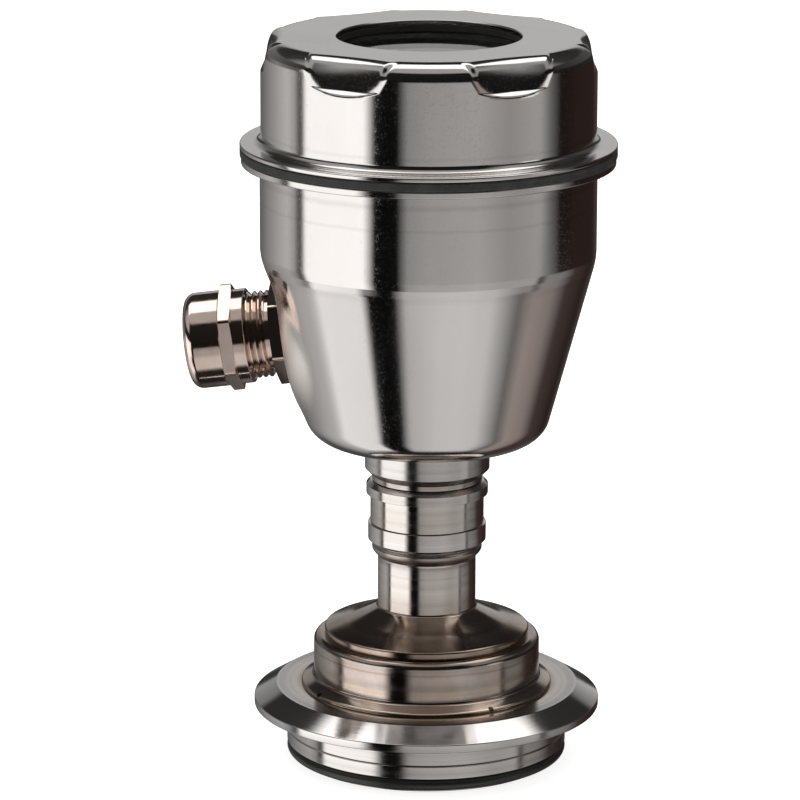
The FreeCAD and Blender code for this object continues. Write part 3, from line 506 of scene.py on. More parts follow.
def ramp_in(tree, factor, stops):
    """Colour ramp from (place, colour) stops."""
    made = node_in(tree, "ShaderNodeValToRGB", {"Fac": factor})
    elements = made.color_ramp.elements
    while len(elements) < len(stops):
        elements.new(0.5)
    for element, (place, tint) in zip(elements, stops):
        element.position = place
        element.color = (*tint, 1.0)
    return made.outputs["Color"]


def fade_in(tree, value, none, full):
    """Soft step from nothing at one value to all at another."""
    made = node_in(tree, "ShaderNodeMapRange", {"Value": value, "From Min": none, "From Max": full},
                   interpolation_type="SMOOTHSTEP")
    return made.outputs[0]


def mix_in(tree, factor, first, second):
    """Colour between two colours or colour sockets."""
    made = node_in(tree, "ShaderNodeMix", {0: factor}, data_type="RGBA")
    for socket, value in ((made.inputs[6], first), (made.inputs[7], second)):
        if isinstance(value, bpy.types.NodeSocket):
            tree.links.new(value, socket)
        else:
            socket.default_value = (*value, 1.0)
    return made.outputs[2]


def new_group(name, inputs, outputs):
    """Empty shader group with named float inputs, a Vector input and float outputs."""
    tree = bpy.data.node_groups.new(name, "ShaderNodeTree")
    tree.interface.new_socket("Vector", in_out="INPUT", socket_type="NodeSocketVector")
    for label, default in inputs.items():
        socket = tree.interface.new_socket(label, in_out="INPUT", socket_type="NodeSocketFloat")
        socket.default_value = default
    for label in outputs:
        tree.interface.new_socket(label, in_out="OUTPUT", socket_type="NodeSocketFloat")
    return tree, tree.nodes.new("NodeGroupInput"), tree.nodes.new("NodeGroupOutput")


def turning_marks_group():
    """Fine rings that a turning tool leaves about Z, and broader duller bands among them."""
    tree, given, result = new_group("turning_marks", {"Rings": 2500.0, "Bands": 260.0},
                                    ["Height", "Tone"])
    parts = node_in(tree, "ShaderNodeSeparateXYZ", {0: given.outputs["Vector"]})
    across = math_in(tree, "MULTIPLY", parts.outputs["X"], parts.outputs["X"])
    along = math_in(tree, "MULTIPLY", parts.outputs["Y"], parts.outputs["Y"])
    radius = math_in(tree, "SQRT", math_in(tree, "ADD", across, along))
    face_pace = 0.77
    path = math_in(tree, "ADD", parts.outputs["Z"], math_in(tree, "MULTIPLY", radius, face_pace))
    for label, key, detail in (("Rings", "Height", 3.0), ("Bands", "Tone", 4.0)):
        place = math_in(tree, "MULTIPLY", path, given.outputs[label])
        noise = node_in(tree, "ShaderNodeTexNoise", {"W": place, "Scale": 1.0, "Detail": detail,
                                                     "Roughness": 0.62}, noise_dimensions="1D")
        tree.links.new(noise.outputs["Fac"], result.inputs[key])
    return tree


def clouding_group():
    """Soft uneven patches, as on handled or pickled metal."""
    tree, given, result = new_group("clouding", {"Scale": 60.0, "Stretch": 1.0}, ["Value"])
    scale = node_in(tree, "ShaderNodeCombineXYZ", {"X": 1.0, "Y": 1.0, "Z": given.outputs["Stretch"]})
    place = node_in(tree, "ShaderNodeVectorMath", {0: given.outputs["Vector"], 1: scale.outputs[0]},
                    operation="MULTIPLY")
    noise = noise_in(tree, place.outputs[0], given.outputs["Scale"], detail=5.0, roughness=0.6)
    tree.links.new(noise, result.inputs["Value"])
    return tree


def speckle_group():
    """Sparse fine grains: pits in the sheet, dust on rubber."""
    tree, given, result = new_group("speckle", {"Scale": 1400.0, "Share": 0.3}, ["Mask"])
    noise = noise_in(tree, given.outputs["Vector"], given.outputs["Scale"], detail=2.0)
    highest = 0.8
    softness = 0.06
    edge = math_in(tree, "SUBTRACT", highest, math_in(tree, "MULTIPLY", given.outputs["Share"], 0.5))
    mask = node_in(tree, "ShaderNodeMapRange", {"Value": noise, "From Min": edge,
                                                "From Max": math_in(tree, "ADD", edge, softness)})
    tree.links.new(mask.outputs[0], result.inputs["Mask"])
    return tree


def level_band_group():
    """Mask that is full at one height, or with Round at one radius, and fades off to both sides of it."""
    tree, given, result = new_group("level_band", {"Level": 0.0, "Reach": 0.002, "Waver": 0.0005,
                                                   "Round": 0.0}, ["Mask"])
    parts = node_in(tree, "ShaderNodeSeparateXYZ", {0: given.outputs["Vector"]})
    flat = node_in(tree, "ShaderNodeCombineXYZ", {"X": parts.outputs["X"], "Y": parts.outputs["Y"]})
    radius = node_in(tree, "ShaderNodeVectorMath", {0: flat.outputs[0]}, operation="LENGTH")
    place = node_in(tree, "ShaderNodeMix", {0: given.outputs["Round"], 2: parts.outputs["Z"],
                                            3: radius.outputs["Value"]}, data_type="FLOAT")
    noise = noise_in(tree, given.outputs["Vector"], scale=170.0, detail=3.0)
    sway = math_in(tree, "MULTIPLY", math_in(tree, "SUBTRACT", noise, 0.5), given.outputs["Waver"])
    off = math_in(tree, "SUBTRACT", math_in(tree, "ADD", place.outputs[0], sway), given.outputs["Level"])
    away = math_in(tree, "DIVIDE", math_in(tree, "ABSOLUTE", off), given.outputs["Reach"])
    tree.links.new(fade_in(tree, away, 1.0, 0.0), result.inputs["Mask"])
    return tree


def near_point_group():
    """Mask that is full at a point and fades out at a reach from it."""
    tree, given, result = new_group("near_point", {"X": 0.0, "Y": 0.0, "Z": 0.0, "Reach": 0.01}, ["Mask"])
    point = node_in(tree, "ShaderNodeCombineXYZ", {axis: given.outputs[axis] for axis in "XYZ"})
    away = node_in(tree, "ShaderNodeVectorMath", {0: given.outputs["Vector"], 1: point.outputs[0]},
                   operation="DISTANCE")
    part = math_in(tree, "DIVIDE", away.outputs["Value"], given.outputs["Reach"])
    full_to = 0.55
    tree.links.new(fade_in(tree, part, 1.0, full_to), result.inputs["Mask"])
    return tree


# The shared effects by name, and what a level band is measured by.
EFFECTS = {}
HEIGHT = 0.0
RADIUS = 1.0


def effect_in(tree, name, vector, values):
    """Places a shared effect in a material with its own values."""
    made = tree.nodes.new("ShaderNodeGroup")
    made.node_tree = EFFECTS[name]
    tree.links.new(vector, made.inputs["Vector"])
    for key, value in values.items():
        made.inputs[key].default_value = value
    return made.outputs


def level_mask(tree, place, level, reach, waver, kind=HEIGHT):
    """Band about a height, or about a radius."""
    values = {"Level": level, "Reach": reach, "Waver": waver, "Round": kind}
    return effect_in(tree, "level_band", place, values)["Mask"]


def point_mask(tree, place, point, reach):
    """Patch about a point."""
    values = {"X": point[0], "Y": point[1], "Z": point[2], "Reach": reach}
    return effect_in(tree, "near_point", place, values)["Mask"]


def heat(level, reach, waver, tint, strength, kind=HEIGHT):
    """A heat tint about a height or radius, with its reach and waver in millimetres."""
    return kind, level, reach * MM, waver * MM, tint, strength


def new_material(name, settings):
    """Empty material with a Principled shader, its plain settings and its object coordinates."""
    material = bpy.data.materials.new(name)
    material.use_nodes = True
    tree = material.node_tree
    shader = tree.nodes["Principled BSDF"]
    for key, value in settings.items():
        shader.inputs[key].default_value = value
    place = tree.nodes.new("ShaderNodeTexCoord").outputs["Object"]
    return material, tree, shader, place


def feed(tree, shader, base, spread, height, strength, distance):
    """Gives a material its colour, its roughness and its fine relief."""
    bump = node_in(tree, "ShaderNodeBump", {"Height": height, "Strength": strength,
                                            "Distance": distance})
    tree.links.new(base, shader.inputs["Base Color"])
    tree.links.new(spread, shader.inputs["Roughness"])
    tree.links.new(bump.outputs["Normal"], shader.inputs["Normal"])


def vary(tree, value, low, high):
    """Takes a noise value, mostly between 0.3 and 0.7, to a range."""
    made = node_in(tree, "ShaderNodeMapRange", {"Value": value, "From Min": 0.3, "From Max": 0.7,
                                                "To Min": low, "To Max": high})
    return made.outputs[0]


def turned_steel(name, finish, roughness, grain, tints=(), tacks=(), matt=()):
    """Turned stainless steel with tool rings, duller bands and heat tint at given heights or radii.

    Tacks are points with a reach, where a weld was started and left a dark mark. Matt places are heights
    with a reach, where a weld was left rough.
    """
    material, tree, shader, place = new_material(name, {"Metallic": 1.0, "Anisotropic": 0.6,
                                                        "Anisotropic Rotation": 0.25})
    marks = effect_in(tree, "turning_marks", place, {"Rings": 5200.0, "Bands": 420.0})
    cloud = effect_in(tree, "clouding", place, {"Scale": 90.0})["Value"]
    base = mix_in(tree, vary(tree, marks["Tone"], 0.0, grain), finish.steel, finish.steel_dark)
    for kind, level, reach, waver, tint, strength in tints:
        mask = level_mask(tree, place, level, reach, waver, kind)
        patch = math_in(tree, "MULTIPLY", mask, vary(tree, cloud, 0.45 * strength, strength))
        base = mix_in(tree, patch, base, tint)
    soot = tuple(channel / 6 for channel in finish.brown)
    for point, reach in tacks:
        base = mix_in(tree, point_mask(tree, place, point, reach), base, soot)
    spread = math_in(tree, "ADD", vary(tree, marks["Tone"], -0.04, 0.05),
                     vary(tree, cloud, roughness - 0.03, roughness + 0.04))
    weld_waver = 0.5 * MM
    weld_roughness = 0.24
    for level, reach in matt:
        mask = level_mask(tree, place, level, reach, weld_waver)
        spread = math_in(tree, "ADD", spread, math_in(tree, "MULTIPLY", mask, weld_roughness))
    round_axis = node_in(tree, "ShaderNodeTangent", direction_type="RADIAL", axis="Z")
    tree.links.new(round_axis.outputs[0], shader.inputs["Tangent"])
    feed(tree, shader, base, spread, marks["Height"], strength=0.25, distance=0.02 * MM)
    return material


def pressed_steel(name, finish, roughness, lines, warm=()):
    """Drawn or pressed stainless sheet, electropolished, with faint forming lines at given heights.

    Warm places are points with a reach, where welding left a soft matt tint.
    """
    material, tree, shader, place = new_material(name, {"Metallic": 1.0})
    cloud = effect_in(tree, "clouding", place, {"Scale": 55.0, "Stretch": 0.35})["Value"]
    pits = effect_in(tree, "speckle", place, {"Scale": 2600.0, "Share": 0.42})["Mask"]
    marks = effect_in(tree, "turning_marks", place, {"Rings": 1500.0, "Bands": 330.0})
    base = mix_in(tree, vary(tree, cloud, 0.0, 0.2), finish.steel, finish.steel_dark)
    band_relief = 0.25
    line_relief = 0.6
    line_waver = 0.6 * MM
    height = math_in(tree, "MULTIPLY", marks["Tone"], band_relief)
    for level, reach, strength in lines:
        mask = level_mask(tree, place, level, reach, line_waver)
        patch = math_in(tree, "MULTIPLY", mask, strength)
        base = mix_in(tree, patch, base, finish.steel_dark)
        height = math_in(tree, "SUBTRACT", height, math_in(tree, "MULTIPLY", patch, line_relief))
    pit_roughness = 0.1
    pit_relief = 0.02
    spread = math_in(tree, "ADD", vary(tree, cloud, roughness - 0.02, roughness + 0.03),
                     math_in(tree, "MULTIPLY", pits, pit_roughness))
    haze_share = 0.8
    haze_roughness = 0.42
    for point, reach in warm:
        mask = point_mask(tree, place, point, reach)
        base = mix_in(tree, math_in(tree, "MULTIPLY", mask, haze_share), base, finish.weld_haze)
        spread = math_in(tree, "ADD", spread, math_in(tree, "MULTIPLY", mask, haze_roughness))
    height = math_in(tree, "SUBTRACT", height, math_in(tree, "MULTIPLY", pits, pit_relief))
    feed(tree, shader, base, spread, height, strength=0.1, distance=0.1 * MM)
    return material


def plated_nickel(name, finish, sizes):
    """Nickel-plated brass of the gland, mirror bright with a warm uneven stain."""
    material, tree, shader, place = new_material(name, {"Metallic": 1.0})
    along = {"Vector": place, "Location": gland_seat(sizes), "Rotation": (0.0, gland_lay(sizes), 0.0)}
    local = node_in(tree, "ShaderNodeMapping", along, vector_type="TEXTURE").outputs[0]
    marks = effect_in(tree, "turning_marks", local, {"Rings": 4200.0, "Bands": 520.0})
    cloud = effect_in(tree, "clouding", local, {"Scale": 190.0})["Value"]
    base = mix_in(tree, vary(tree, cloud, 0.0, 0.4), finish.nickel, finish.nickel_stain)
    spread = math_in(tree, "ADD", vary(tree, cloud, 0.05, 0.1), vary(tree, marks["Tone"], 0.0, 0.05))
    feed(tree, shader, base, spread, marks["Height"], strength=0.12, distance=0.02 * MM)
    return material


def black_rubber(name, finish, roughness, dust):
    """Moulded rubber with a fine skin and a little pale dust."""
    material, tree, shader, place = new_material(name, {"Specular IOR Level": 0.45})
    cloud = effect_in(tree, "clouding", place, {"Scale": 240.0})["Value"]
    grains = effect_in(tree, "speckle", place, {"Scale": 1500.0, "Share": 0.36})["Mask"]
    pale = tuple(channel * 3.2 + 0.02 for channel in finish.rubber)
    base = mix_in(tree, math_in(tree, "MULTIPLY", grains, dust), finish.rubber, pale)
    base = mix_in(tree, vary(tree, cloud, 0.0, dust), base, pale)
    spread = vary(tree, cloud, roughness - 0.06, roughness + 0.1)
    skin = math_in(tree, "ADD", cloud, grains)
    feed(tree, shader, base, spread, skin, strength=0.2, distance=0.04 * MM)
    return material


def clear_glass(name):
    """Window glass with faint wipe marks in its gloss."""
    material, tree, shader, place = new_material(name, {
        "Base Color": (0.93, 0.97, 0.95, 1.0), "Transmission Weight": 1.0, "IOR": 1.52, "Metallic": 0.0})
    cloud = effect_in(tree, "clouding", place, {"Scale": 120.0})["Value"]
    tree.links.new(vary(tree, cloud, 0.0, 0.03), shader.inputs["Roughness"])
    return material


def moulded(name, tint, roughness, scale):
    """Moulded or cast piece: fine skin, slight clouding of its colour and gloss."""
    material, tree, shader, place = new_material(name, {"Metallic": 0.0})
    cloud = effect_in(tree, "clouding", place, {"Scale": scale})["Value"]
    grains = effect_in(tree, "speckle", place, {"Scale": 20 * scale, "Share": 0.4})["Mask"]
    darker = tuple(channel * 0.72 for channel in tint)
    base = mix_in(tree, vary(tree, cloud, 0.0, 0.7), tint, darker)
    spread = vary(tree, cloud, roughness - 0.05, roughness + 0.08)
    skin = math_in(tree, "ADD", cloud, grains)
    feed(tree, shader, base, spread, skin, strength=0.15, distance=0.05 * MM)
    return material


def finish_of(context):
    return context.scene.transmitter_finish


class TRANSMITTER_OT_effects(bpy.types.Operator):
    """Builds the shared surface effects that the finishes use"""
    bl_idname = "transmitter.effects"
    bl_label = "Surface effects"

    def execute(self, context):
        EFFECTS["turning_marks"] = turning_marks_group()
        EFFECTS["clouding"] = clouding_group()
        EFFECTS["speckle"] = speckle_group()
        EFFECTS["level_band"] = level_band_group()
        EFFECTS["near_point"] = near_point_group()
        return {"FINISHED"}


class TRANSMITTER_OT_foot(bpy.types.Operator):
    """Turns the clamp flange with its spigot, and the seal ring at the foot"""
    bl_idname = "transmitter.foot"
    bl_label = "Flange and seal ring"

    def execute(self, context):
        finish = finish_of(context)
        weld_r = WELD_FOOT_R - 0.5 * MM
        weld_heat = [heat(weld_r, 4.5, 1.6, finish.straw, 0.6, RADIUS),
                     heat(weld_r, 1.8, 0.8, finish.brown, 0.8, RADIUS)]
        steel = turned_steel("turned_flange", finish, roughness=0.13, grain=0.5, tints=weld_heat)
        dress(self.flange(context.scene.transmitter_foot), "process_flange", steel)
        rubber = black_rubber("seal_ring_rubber", finish, roughness=0.3, dust=0.1)
        dress(self.seal_ring(), "process_oring", rubber)
        return {"FINISHED"}

    def flange(self, sizes):
        """Lip, seal groove, spigot with its turned line, bevelled flange, and the cell's stepped bore."""
        groove_low = FOOT_Z + sizes.lip_h
        groove_r = SPIGOT_R - (ORING_HIGH - ORING_LOW) - CLOSE_FIT
        line_z = -sizes.line_drop
        line_half = sizes.line_w / 2
        edge = sizes.edge
        seat_z = FOOT_Z + sizes.cell_lip_h
        return lathe([
            (sizes.window_r, FOOT_Z, edge / 2), (sizes.lip_r, FOOT_Z, edge), (sizes.lip_r, groove_low),
            (groove_r, groove_low), (groove_r, -sizes.spigot_h), (SPIGOT_R, -sizes.spigot_h, edge),
            (SPIGOT_R, line_z - line_half, edge / 3), (SPIGOT_R - line_half, line_z),
            (SPIGOT_R, line_z + line_half, edge / 3), (SPIGOT_R, 0.0),
            (FLANGE_R, 0.0, edge), (FLANGE_R, sizes.rim_h, edge), (sizes.top_r, FLANGE_Z, edge),
            (sizes.register_r, FLANGE_Z), (sizes.register_r, REGISTER_Z), (sizes.pocket_r, REGISTER_Z),
            (sizes.pocket_r, seat_z), (sizes.window_r, seat_z)])

    def seal_ring(self):
        """Round cord swept about the axis."""
        cord_r = (ORING_HIGH - ORING_LOW) / 2
        seal = bmesh.new()
        bmesh.ops.create_circle(seal, cap_ends=False, segments=40, radius=cord_r)
        upright = Matrix.Translation((SPIGOT_R - cord_r, 0, (ORING_LOW + ORING_HIGH) / 2))
        upright = upright @ Matrix.Rotation(math.pi / 2, 4, "X")
        bmesh.ops.transform(seal, matrix=upright, verts=seal.verts)
        spin(seal, everything(seal), FULL_TURN, TURN_STEPS, closed=True)
        bmesh.ops.remove_doubles(seal, verts=seal.verts, dist=MERGE_DISTANCE)
        return seal


class TRANSMITTER_OT_sensor(bpy.types.Operator):
    """Turns the sensor body with its weld foot, and the neck with its hollow cone"""
    bl_idname = "transmitter.sensor"
    bl_label = "Sensor body and neck"

    def execute(self, context):
        sizes = context.scene.transmitter_sensor
        finish = finish_of(context)
        body_heat = [
            heat((FLANGE_Z + BODY_TOP_Z) / 2, 14.0, 2.0, finish.brown, 0.7),
            heat(FLANGE_Z + 0.4 * MM, 1.6, 0.8, finish.straw, 0.85),
            heat(FLANGE_Z + 2.4 * MM, 0.9, 0.8, finish.brown, 0.9),
            heat(FLANGE_Z + 4.4 * MM, 1.2, 0.8, finish.straw, 0.6),
            heat(BODY_TOP_Z - 0.2 * MM, 1.4, 0.6, finish.brown, 0.8),
            heat(BODY_TOP_Z - 3.2 * MM, 0.5, 0.5, finish.brown, 0.7)]
        steel = turned_steel("sensor_body_steel", finish, roughness=0.13, grain=0.6, tints=body_heat,
                             tacks=self.tack_marks())
        body = self.body(sizes, context.scene.transmitter_foot.register_r - CLOSE_FIT)
        dress(body, "sensor_body", steel)
        rim_z = BODY_TOP_Z + sizes.rim_z
        tube_z = rim_z + sizes.cone_h
        neck_heat_and_shade = [
            heat(BODY_TOP_Z + 0.3 * MM, 1.6, 0.6, finish.brown, 0.85),
            # The cone's brown is heat tint, laid on at full strength and darker than the tint alone: partly
            # painted shade for the dark that the hollow cone mirrors.
            heat(rim_z + 1.5 * MM, 9.5, 1.2, finish.brown, 1.0),
            heat(tube_z + 5.0 * MM, 9.0, 2.0, finish.straw, 0.3),
            heat(SLEEVE_Z, 1.6, 0.5, finish.brown, 0.6)]
        steel = turned_steel("neck_steel", finish, roughness=0.14, grain=0.4, tints=neck_heat_and_shade)
        dress(self.neck(sizes, rim_z, tube_z), "sensor_neck", steel)
        return {"FINISHED"}

    def tack_marks(self):
        """Two dark points on the weld foot, with their reach."""
        tack_r = WELD_FOOT_R - 0.4 * MM
        tack_z = FLANGE_Z + 0.9 * MM
        reach = 0.9 * MM
        angles = (math.radians(216), math.radians(306))
        return [((tack_r * math.cos(angle), tack_r * math.sin(angle), tack_z), reach) for angle in angles]

    def body(self, sizes, register_r):
        """Tube with a crowned weld foot, a rounded weld shoulder and the bore for the neck's plug."""
        inner_r = sizes.neck_r + sizes.plug_wall
        pocket_z = NECK_PLUG_Z - LOOSE_FIT
        weld_z = FLANGE_Z + sizes.weld_h
        return lathe([
            (inner_r, REGISTER_Z), (register_r, REGISTER_Z), (register_r, FLANGE_Z),
            (WELD_FOOT_R, FLANGE_Z), (WELD_FOOT_R, FLANGE_Z + sizes.weld_h / 3, sizes.weld_round),
            (sizes.body_r, weld_z, sizes.weld_round), (sizes.body_r, BODY_TOP_Z, sizes.shoulder_round),
            (sizes.bore_r, BODY_TOP_Z), (sizes.bore_r, pocket_z), (inner_r, pocket_z)])

    def neck(self, sizes, rim_z, tube_z):
        """Plug, rim, hollow cone, plain tube and the spigot for the sleeve."""
        plug_r = sizes.bore_r - CLOSE_FIT
        hollow_r = (NECK_RIM_R + sizes.neck_r) / 2
        hollow_z = rim_z + sizes.cone_h / 2 - sizes.cone_dip
        tube_round = 0.8 * MM
        return lathe([
            (sizes.neck_bore_r, rim_z), (plug_r - sizes.plug_wall, NECK_PLUG_Z + sizes.plug_wall),
            (plug_r - sizes.plug_wall, NECK_PLUG_Z), (plug_r, NECK_PLUG_Z), (plug_r, BODY_TOP_Z),
            (NECK_RIM_R, BODY_TOP_Z), (NECK_RIM_R, rim_z, sizes.rim_z / 3),
            (hollow_r, hollow_z, NECK_RIM_R - sizes.neck_r), (sizes.neck_r, tube_z, tube_round),
            (sizes.neck_r, SLEEVE_Z), (sizes.spigot_r, SLEEVE_Z),
            (sizes.spigot_r, NECK_TOP_Z), (sizes.neck_bore_r, NECK_TOP_Z)])


class TRANSMITTER_OT_swivel(bpy.types.Operator):
    """Turns the swivel sleeve with its rings, and the socket under the housing"""
    bl_idname = "transmitter.swivel"
    bl_label = "Swivel sleeve and socket"

    def execute(self, context):
        sizes = context.scene.transmitter_swivel
        finish = finish_of(context)
        lower_z = SLEEVE_Z + sizes.bead_h
        band_z = lower_z + sizes.lower_h
        bead_heat = [heat(SLEEVE_Z + 1.8 * MM, 2.4, 0.7, finish.brown, 0.8),
                     heat(band_z + 4.0 * MM, 9.0, 2.0, finish.straw, 0.3)]
        bead_matt = [(SLEEVE_Z + 1.9 * MM, 2.2 * MM)]
        steel = turned_steel("swivel_steel", finish, roughness=0.13, grain=0.35, tints=bead_heat,
                             matt=bead_matt)
        dress(self.sleeve(sizes, context.scene.transmitter_sensor, lower_z, band_z), "neck_sleeve", steel)
        socket_z = SLEEVE_TOP_Z + sizes.socket_gap
        weld_heat = [heat(SHELL_Z, 1.2, 0.5, finish.straw, 0.6),
                     heat(socket_z + 0.8 * MM, 1.6, 0.5, finish.brown, 0.6)]
        steel = turned_steel("socket_steel", finish, roughness=0.19, grain=0.35, tints=weld_heat)
        dress(self.socket(sizes, socket_z), "housing_socket", steel)
        return {"FINISHED"}

    def sleeve(self, sizes, neck, lower_z, band_z):
        """Round weld bead with a crease above it, two rings with a band between, and the running bore."""
        upper_z = SLEEVE_TOP_Z - sizes.upper_h
        floor_z = SLEEVE_Z + sizes.floor_h
        half = sizes.chamfer / 2
        edge = sizes.edge
        seat_r = neck.spigot_r + CLOSE_FIT
        seat_top = NECK_TOP_Z + LOOSE_FIT
        bead_foot_r = neck.neck_r + 0.1 * MM
        bead_mid = SLEEVE_Z + 2.0 * MM
        bead_top = lower_z - 0.55 * MM
        belly_round = 1.6 * MM
        brow_round = 0.9 * MM
        crease_r = sizes.bead_r - 0.7 * MM
        return lathe([
            (seat_r, SLEEVE_Z), (neck.neck_r, SLEEVE_Z), (bead_foot_r, SLEEVE_Z + half, half),
            (sizes.bead_r, bead_mid, belly_round), (sizes.bead_r, bead_top - half / 5, brow_round),
            (crease_r, bead_top), (crease_r, bead_top + half / 10), (sizes.bead_r, bead_top + half / 5),
            (sizes.lower_r, lower_z + half, edge), (sizes.lower_r, band_z, edge),
            (sizes.band_r, band_z), (sizes.band_r, upper_z), (UPPER_RING_R, upper_z, edge),
            (UPPER_RING_R, SLEEVE_TOP_Z - sizes.chamfer, edge),
            (UPPER_RING_R - sizes.chamfer, SLEEVE_TOP_Z, edge), (sizes.bore_r, SLEEVE_TOP_Z),
            (sizes.bore_r, floor_z), (sizes.lead_r, floor_z), (sizes.lead_r, seat_top),
            (seat_r, seat_top)])

    def socket(self, sizes, socket_z):
        """Spigot in the sleeve, short neck, bevelled collar and the nipple in the housing."""
        collar_z = socket_z + sizes.socket_neck_h
        spigot_r = sizes.bore_r - CLOSE_FIT
        bevel_z = collar_z + COLLAR_R - sizes.socket_neck_r
        return lathe([
            (sizes.lead_r, SOCKET_END_Z), (spigot_r, SOCKET_END_Z), (spigot_r, socket_z),
            (sizes.socket_neck_r, socket_z, sizes.edge), (sizes.socket_neck_r, collar_z),
            (COLLAR_R, bevel_z, sizes.edge), (COLLAR_R, SHELL_Z), (sizes.nipple_r, SHELL_Z),
            (sizes.nipple_r, NIPPLE_Z), (sizes.lead_r, NIPPLE_Z)])


class TRANSMITTER_OT_housing(bpy.types.Operator):
    """Draws the sheet housing and presses the gland's seat into its wall"""
    bl_idname = "transmitter.housing"
    bl_label = "Housing shell"

    # The stretch of the wall that gets level rings, so that the seat can bend it.
    seat_low = 72 * MM
    seat_high = 112 * MM
    seat_rings = 60

    def execute(self, context):
        sizes = context.scene.transmitter_housing
        gland = context.scene.transmitter_gland
        hole_r = context.scene.transmitter_swivel.nipple_r + CLOSE_FIT
        slope = math.atan2(sizes.wall_r - sizes.base_r, sizes.cone_h)
        shell = self.drawn_shell(sizes, slope, hole_r)
        add_rings(shell, self.seat_low, self.seat_high, self.seat_rings)
        self.press_seat(shell, sizes, slope, gland_matrix(gland))
        lines = [(131.0 * MM, 1.2 * MM, 0.5), (125.5 * MM, 0.7 * MM, 0.35), (109.0 * MM, 1.6 * MM, 0.25)]
        seat = [(gland_seat(gland), 2 * sizes.seat_r)]
        steel = pressed_steel("drawn_steel", finish_of(context), roughness=0.09, lines=lines, warm=seat)
        dress(shell, "housing_shell", steel)
        return {"FINISHED"}

    def drawn_shell(self, sizes, slope, hole_r):
        """Base, cone, cylinder and outward rim at one sheet thickness."""
        sheet = sizes.sheet
        inner_base_r = sizes.base_r + sheet * (math.tan(slope) - 1 / math.cos(slope))
        inner_r = sizes.wall_r - sheet
        floor_z = SHELL_Z + sheet
        inner_waist_z = floor_z + (inner_r - inner_base_r) / math.tan(slope)
        rim_low = MOUTH_Z - sheet
        edge = 0.3 * MM
        return lathe([
            (hole_r, SHELL_Z), (sizes.base_r, SHELL_Z, sizes.base_round),
            (sizes.wall_r, SHELL_Z + sizes.cone_h, sizes.waist_round),
            (sizes.wall_r, rim_low, sizes.rim_round), (SHELL_RIM_R, rim_low, edge),
            (SHELL_RIM_R, MOUTH_Z, edge), (inner_r, MOUTH_Z, edge),
            (inner_r, inner_waist_z, sizes.waist_round - sheet),
            (inner_base_r, floor_z, sizes.base_round - sheet), (hole_r, floor_z)], steps=320)

    def press_seat(self, shell, sizes, slope, outward):
        """Flattens both walls round the gland and opens its hole."""
        inward = outward.inverted()
        sheet = sizes.sheet
        reach = sizes.seat_r + sizes.seat_blend
        for vert in shell.verts:
            local = inward @ vert.co
            away = math.hypot(local.x, local.y)
            if vert.co.x > 0 or away > reach or abs(local.z) > reach:
                continue
            wall_r = sizes.base_r + (vert.co.z - SHELL_Z) * math.tan(slope)
            depth = (wall_r - math.hypot(vert.co.x, vert.co.y)) * math.cos(slope)
            level = -sheet if depth > sheet / 2 else 0.0
            keep = smooth_step((away - sizes.seat_r) / sizes.seat_blend)
            local.z = level + (local.z - level) * keep
            vert.co = outward @ local
        doomed = []
        for face in shell.faces:
            centre = face.calc_center_median()
            local = inward @ centre
            at_hole = math.hypot(local.x, local.y) < sizes.hole_r and abs(local.z) < reach
            if at_hole and centre.x < 0:
                doomed.append(face)
        bmesh.ops.delete(shell, geom=doomed, context="FACES")
        rims = [edge for edge in shell.edges if edge.is_boundary]
        for vert in {vert for edge in rims for vert in edge.verts}:
            local = inward @ vert.co
            grow = sizes.hole_r / math.hypot(local.x, local.y)
            vert.co = outward @ Vector((local.x * grow, local.y * grow, local.z))
        bmesh.ops.bridge_loops(shell, edges=rims)


def round_join(first, second, radius):
    """Signed depth inside two half spaces whose common edge is rounded."""
    rise = math.hypot(max(radius + first, 0.0), max(radius + second, 0.0))
    return min(-radius, max(first, second)) + rise


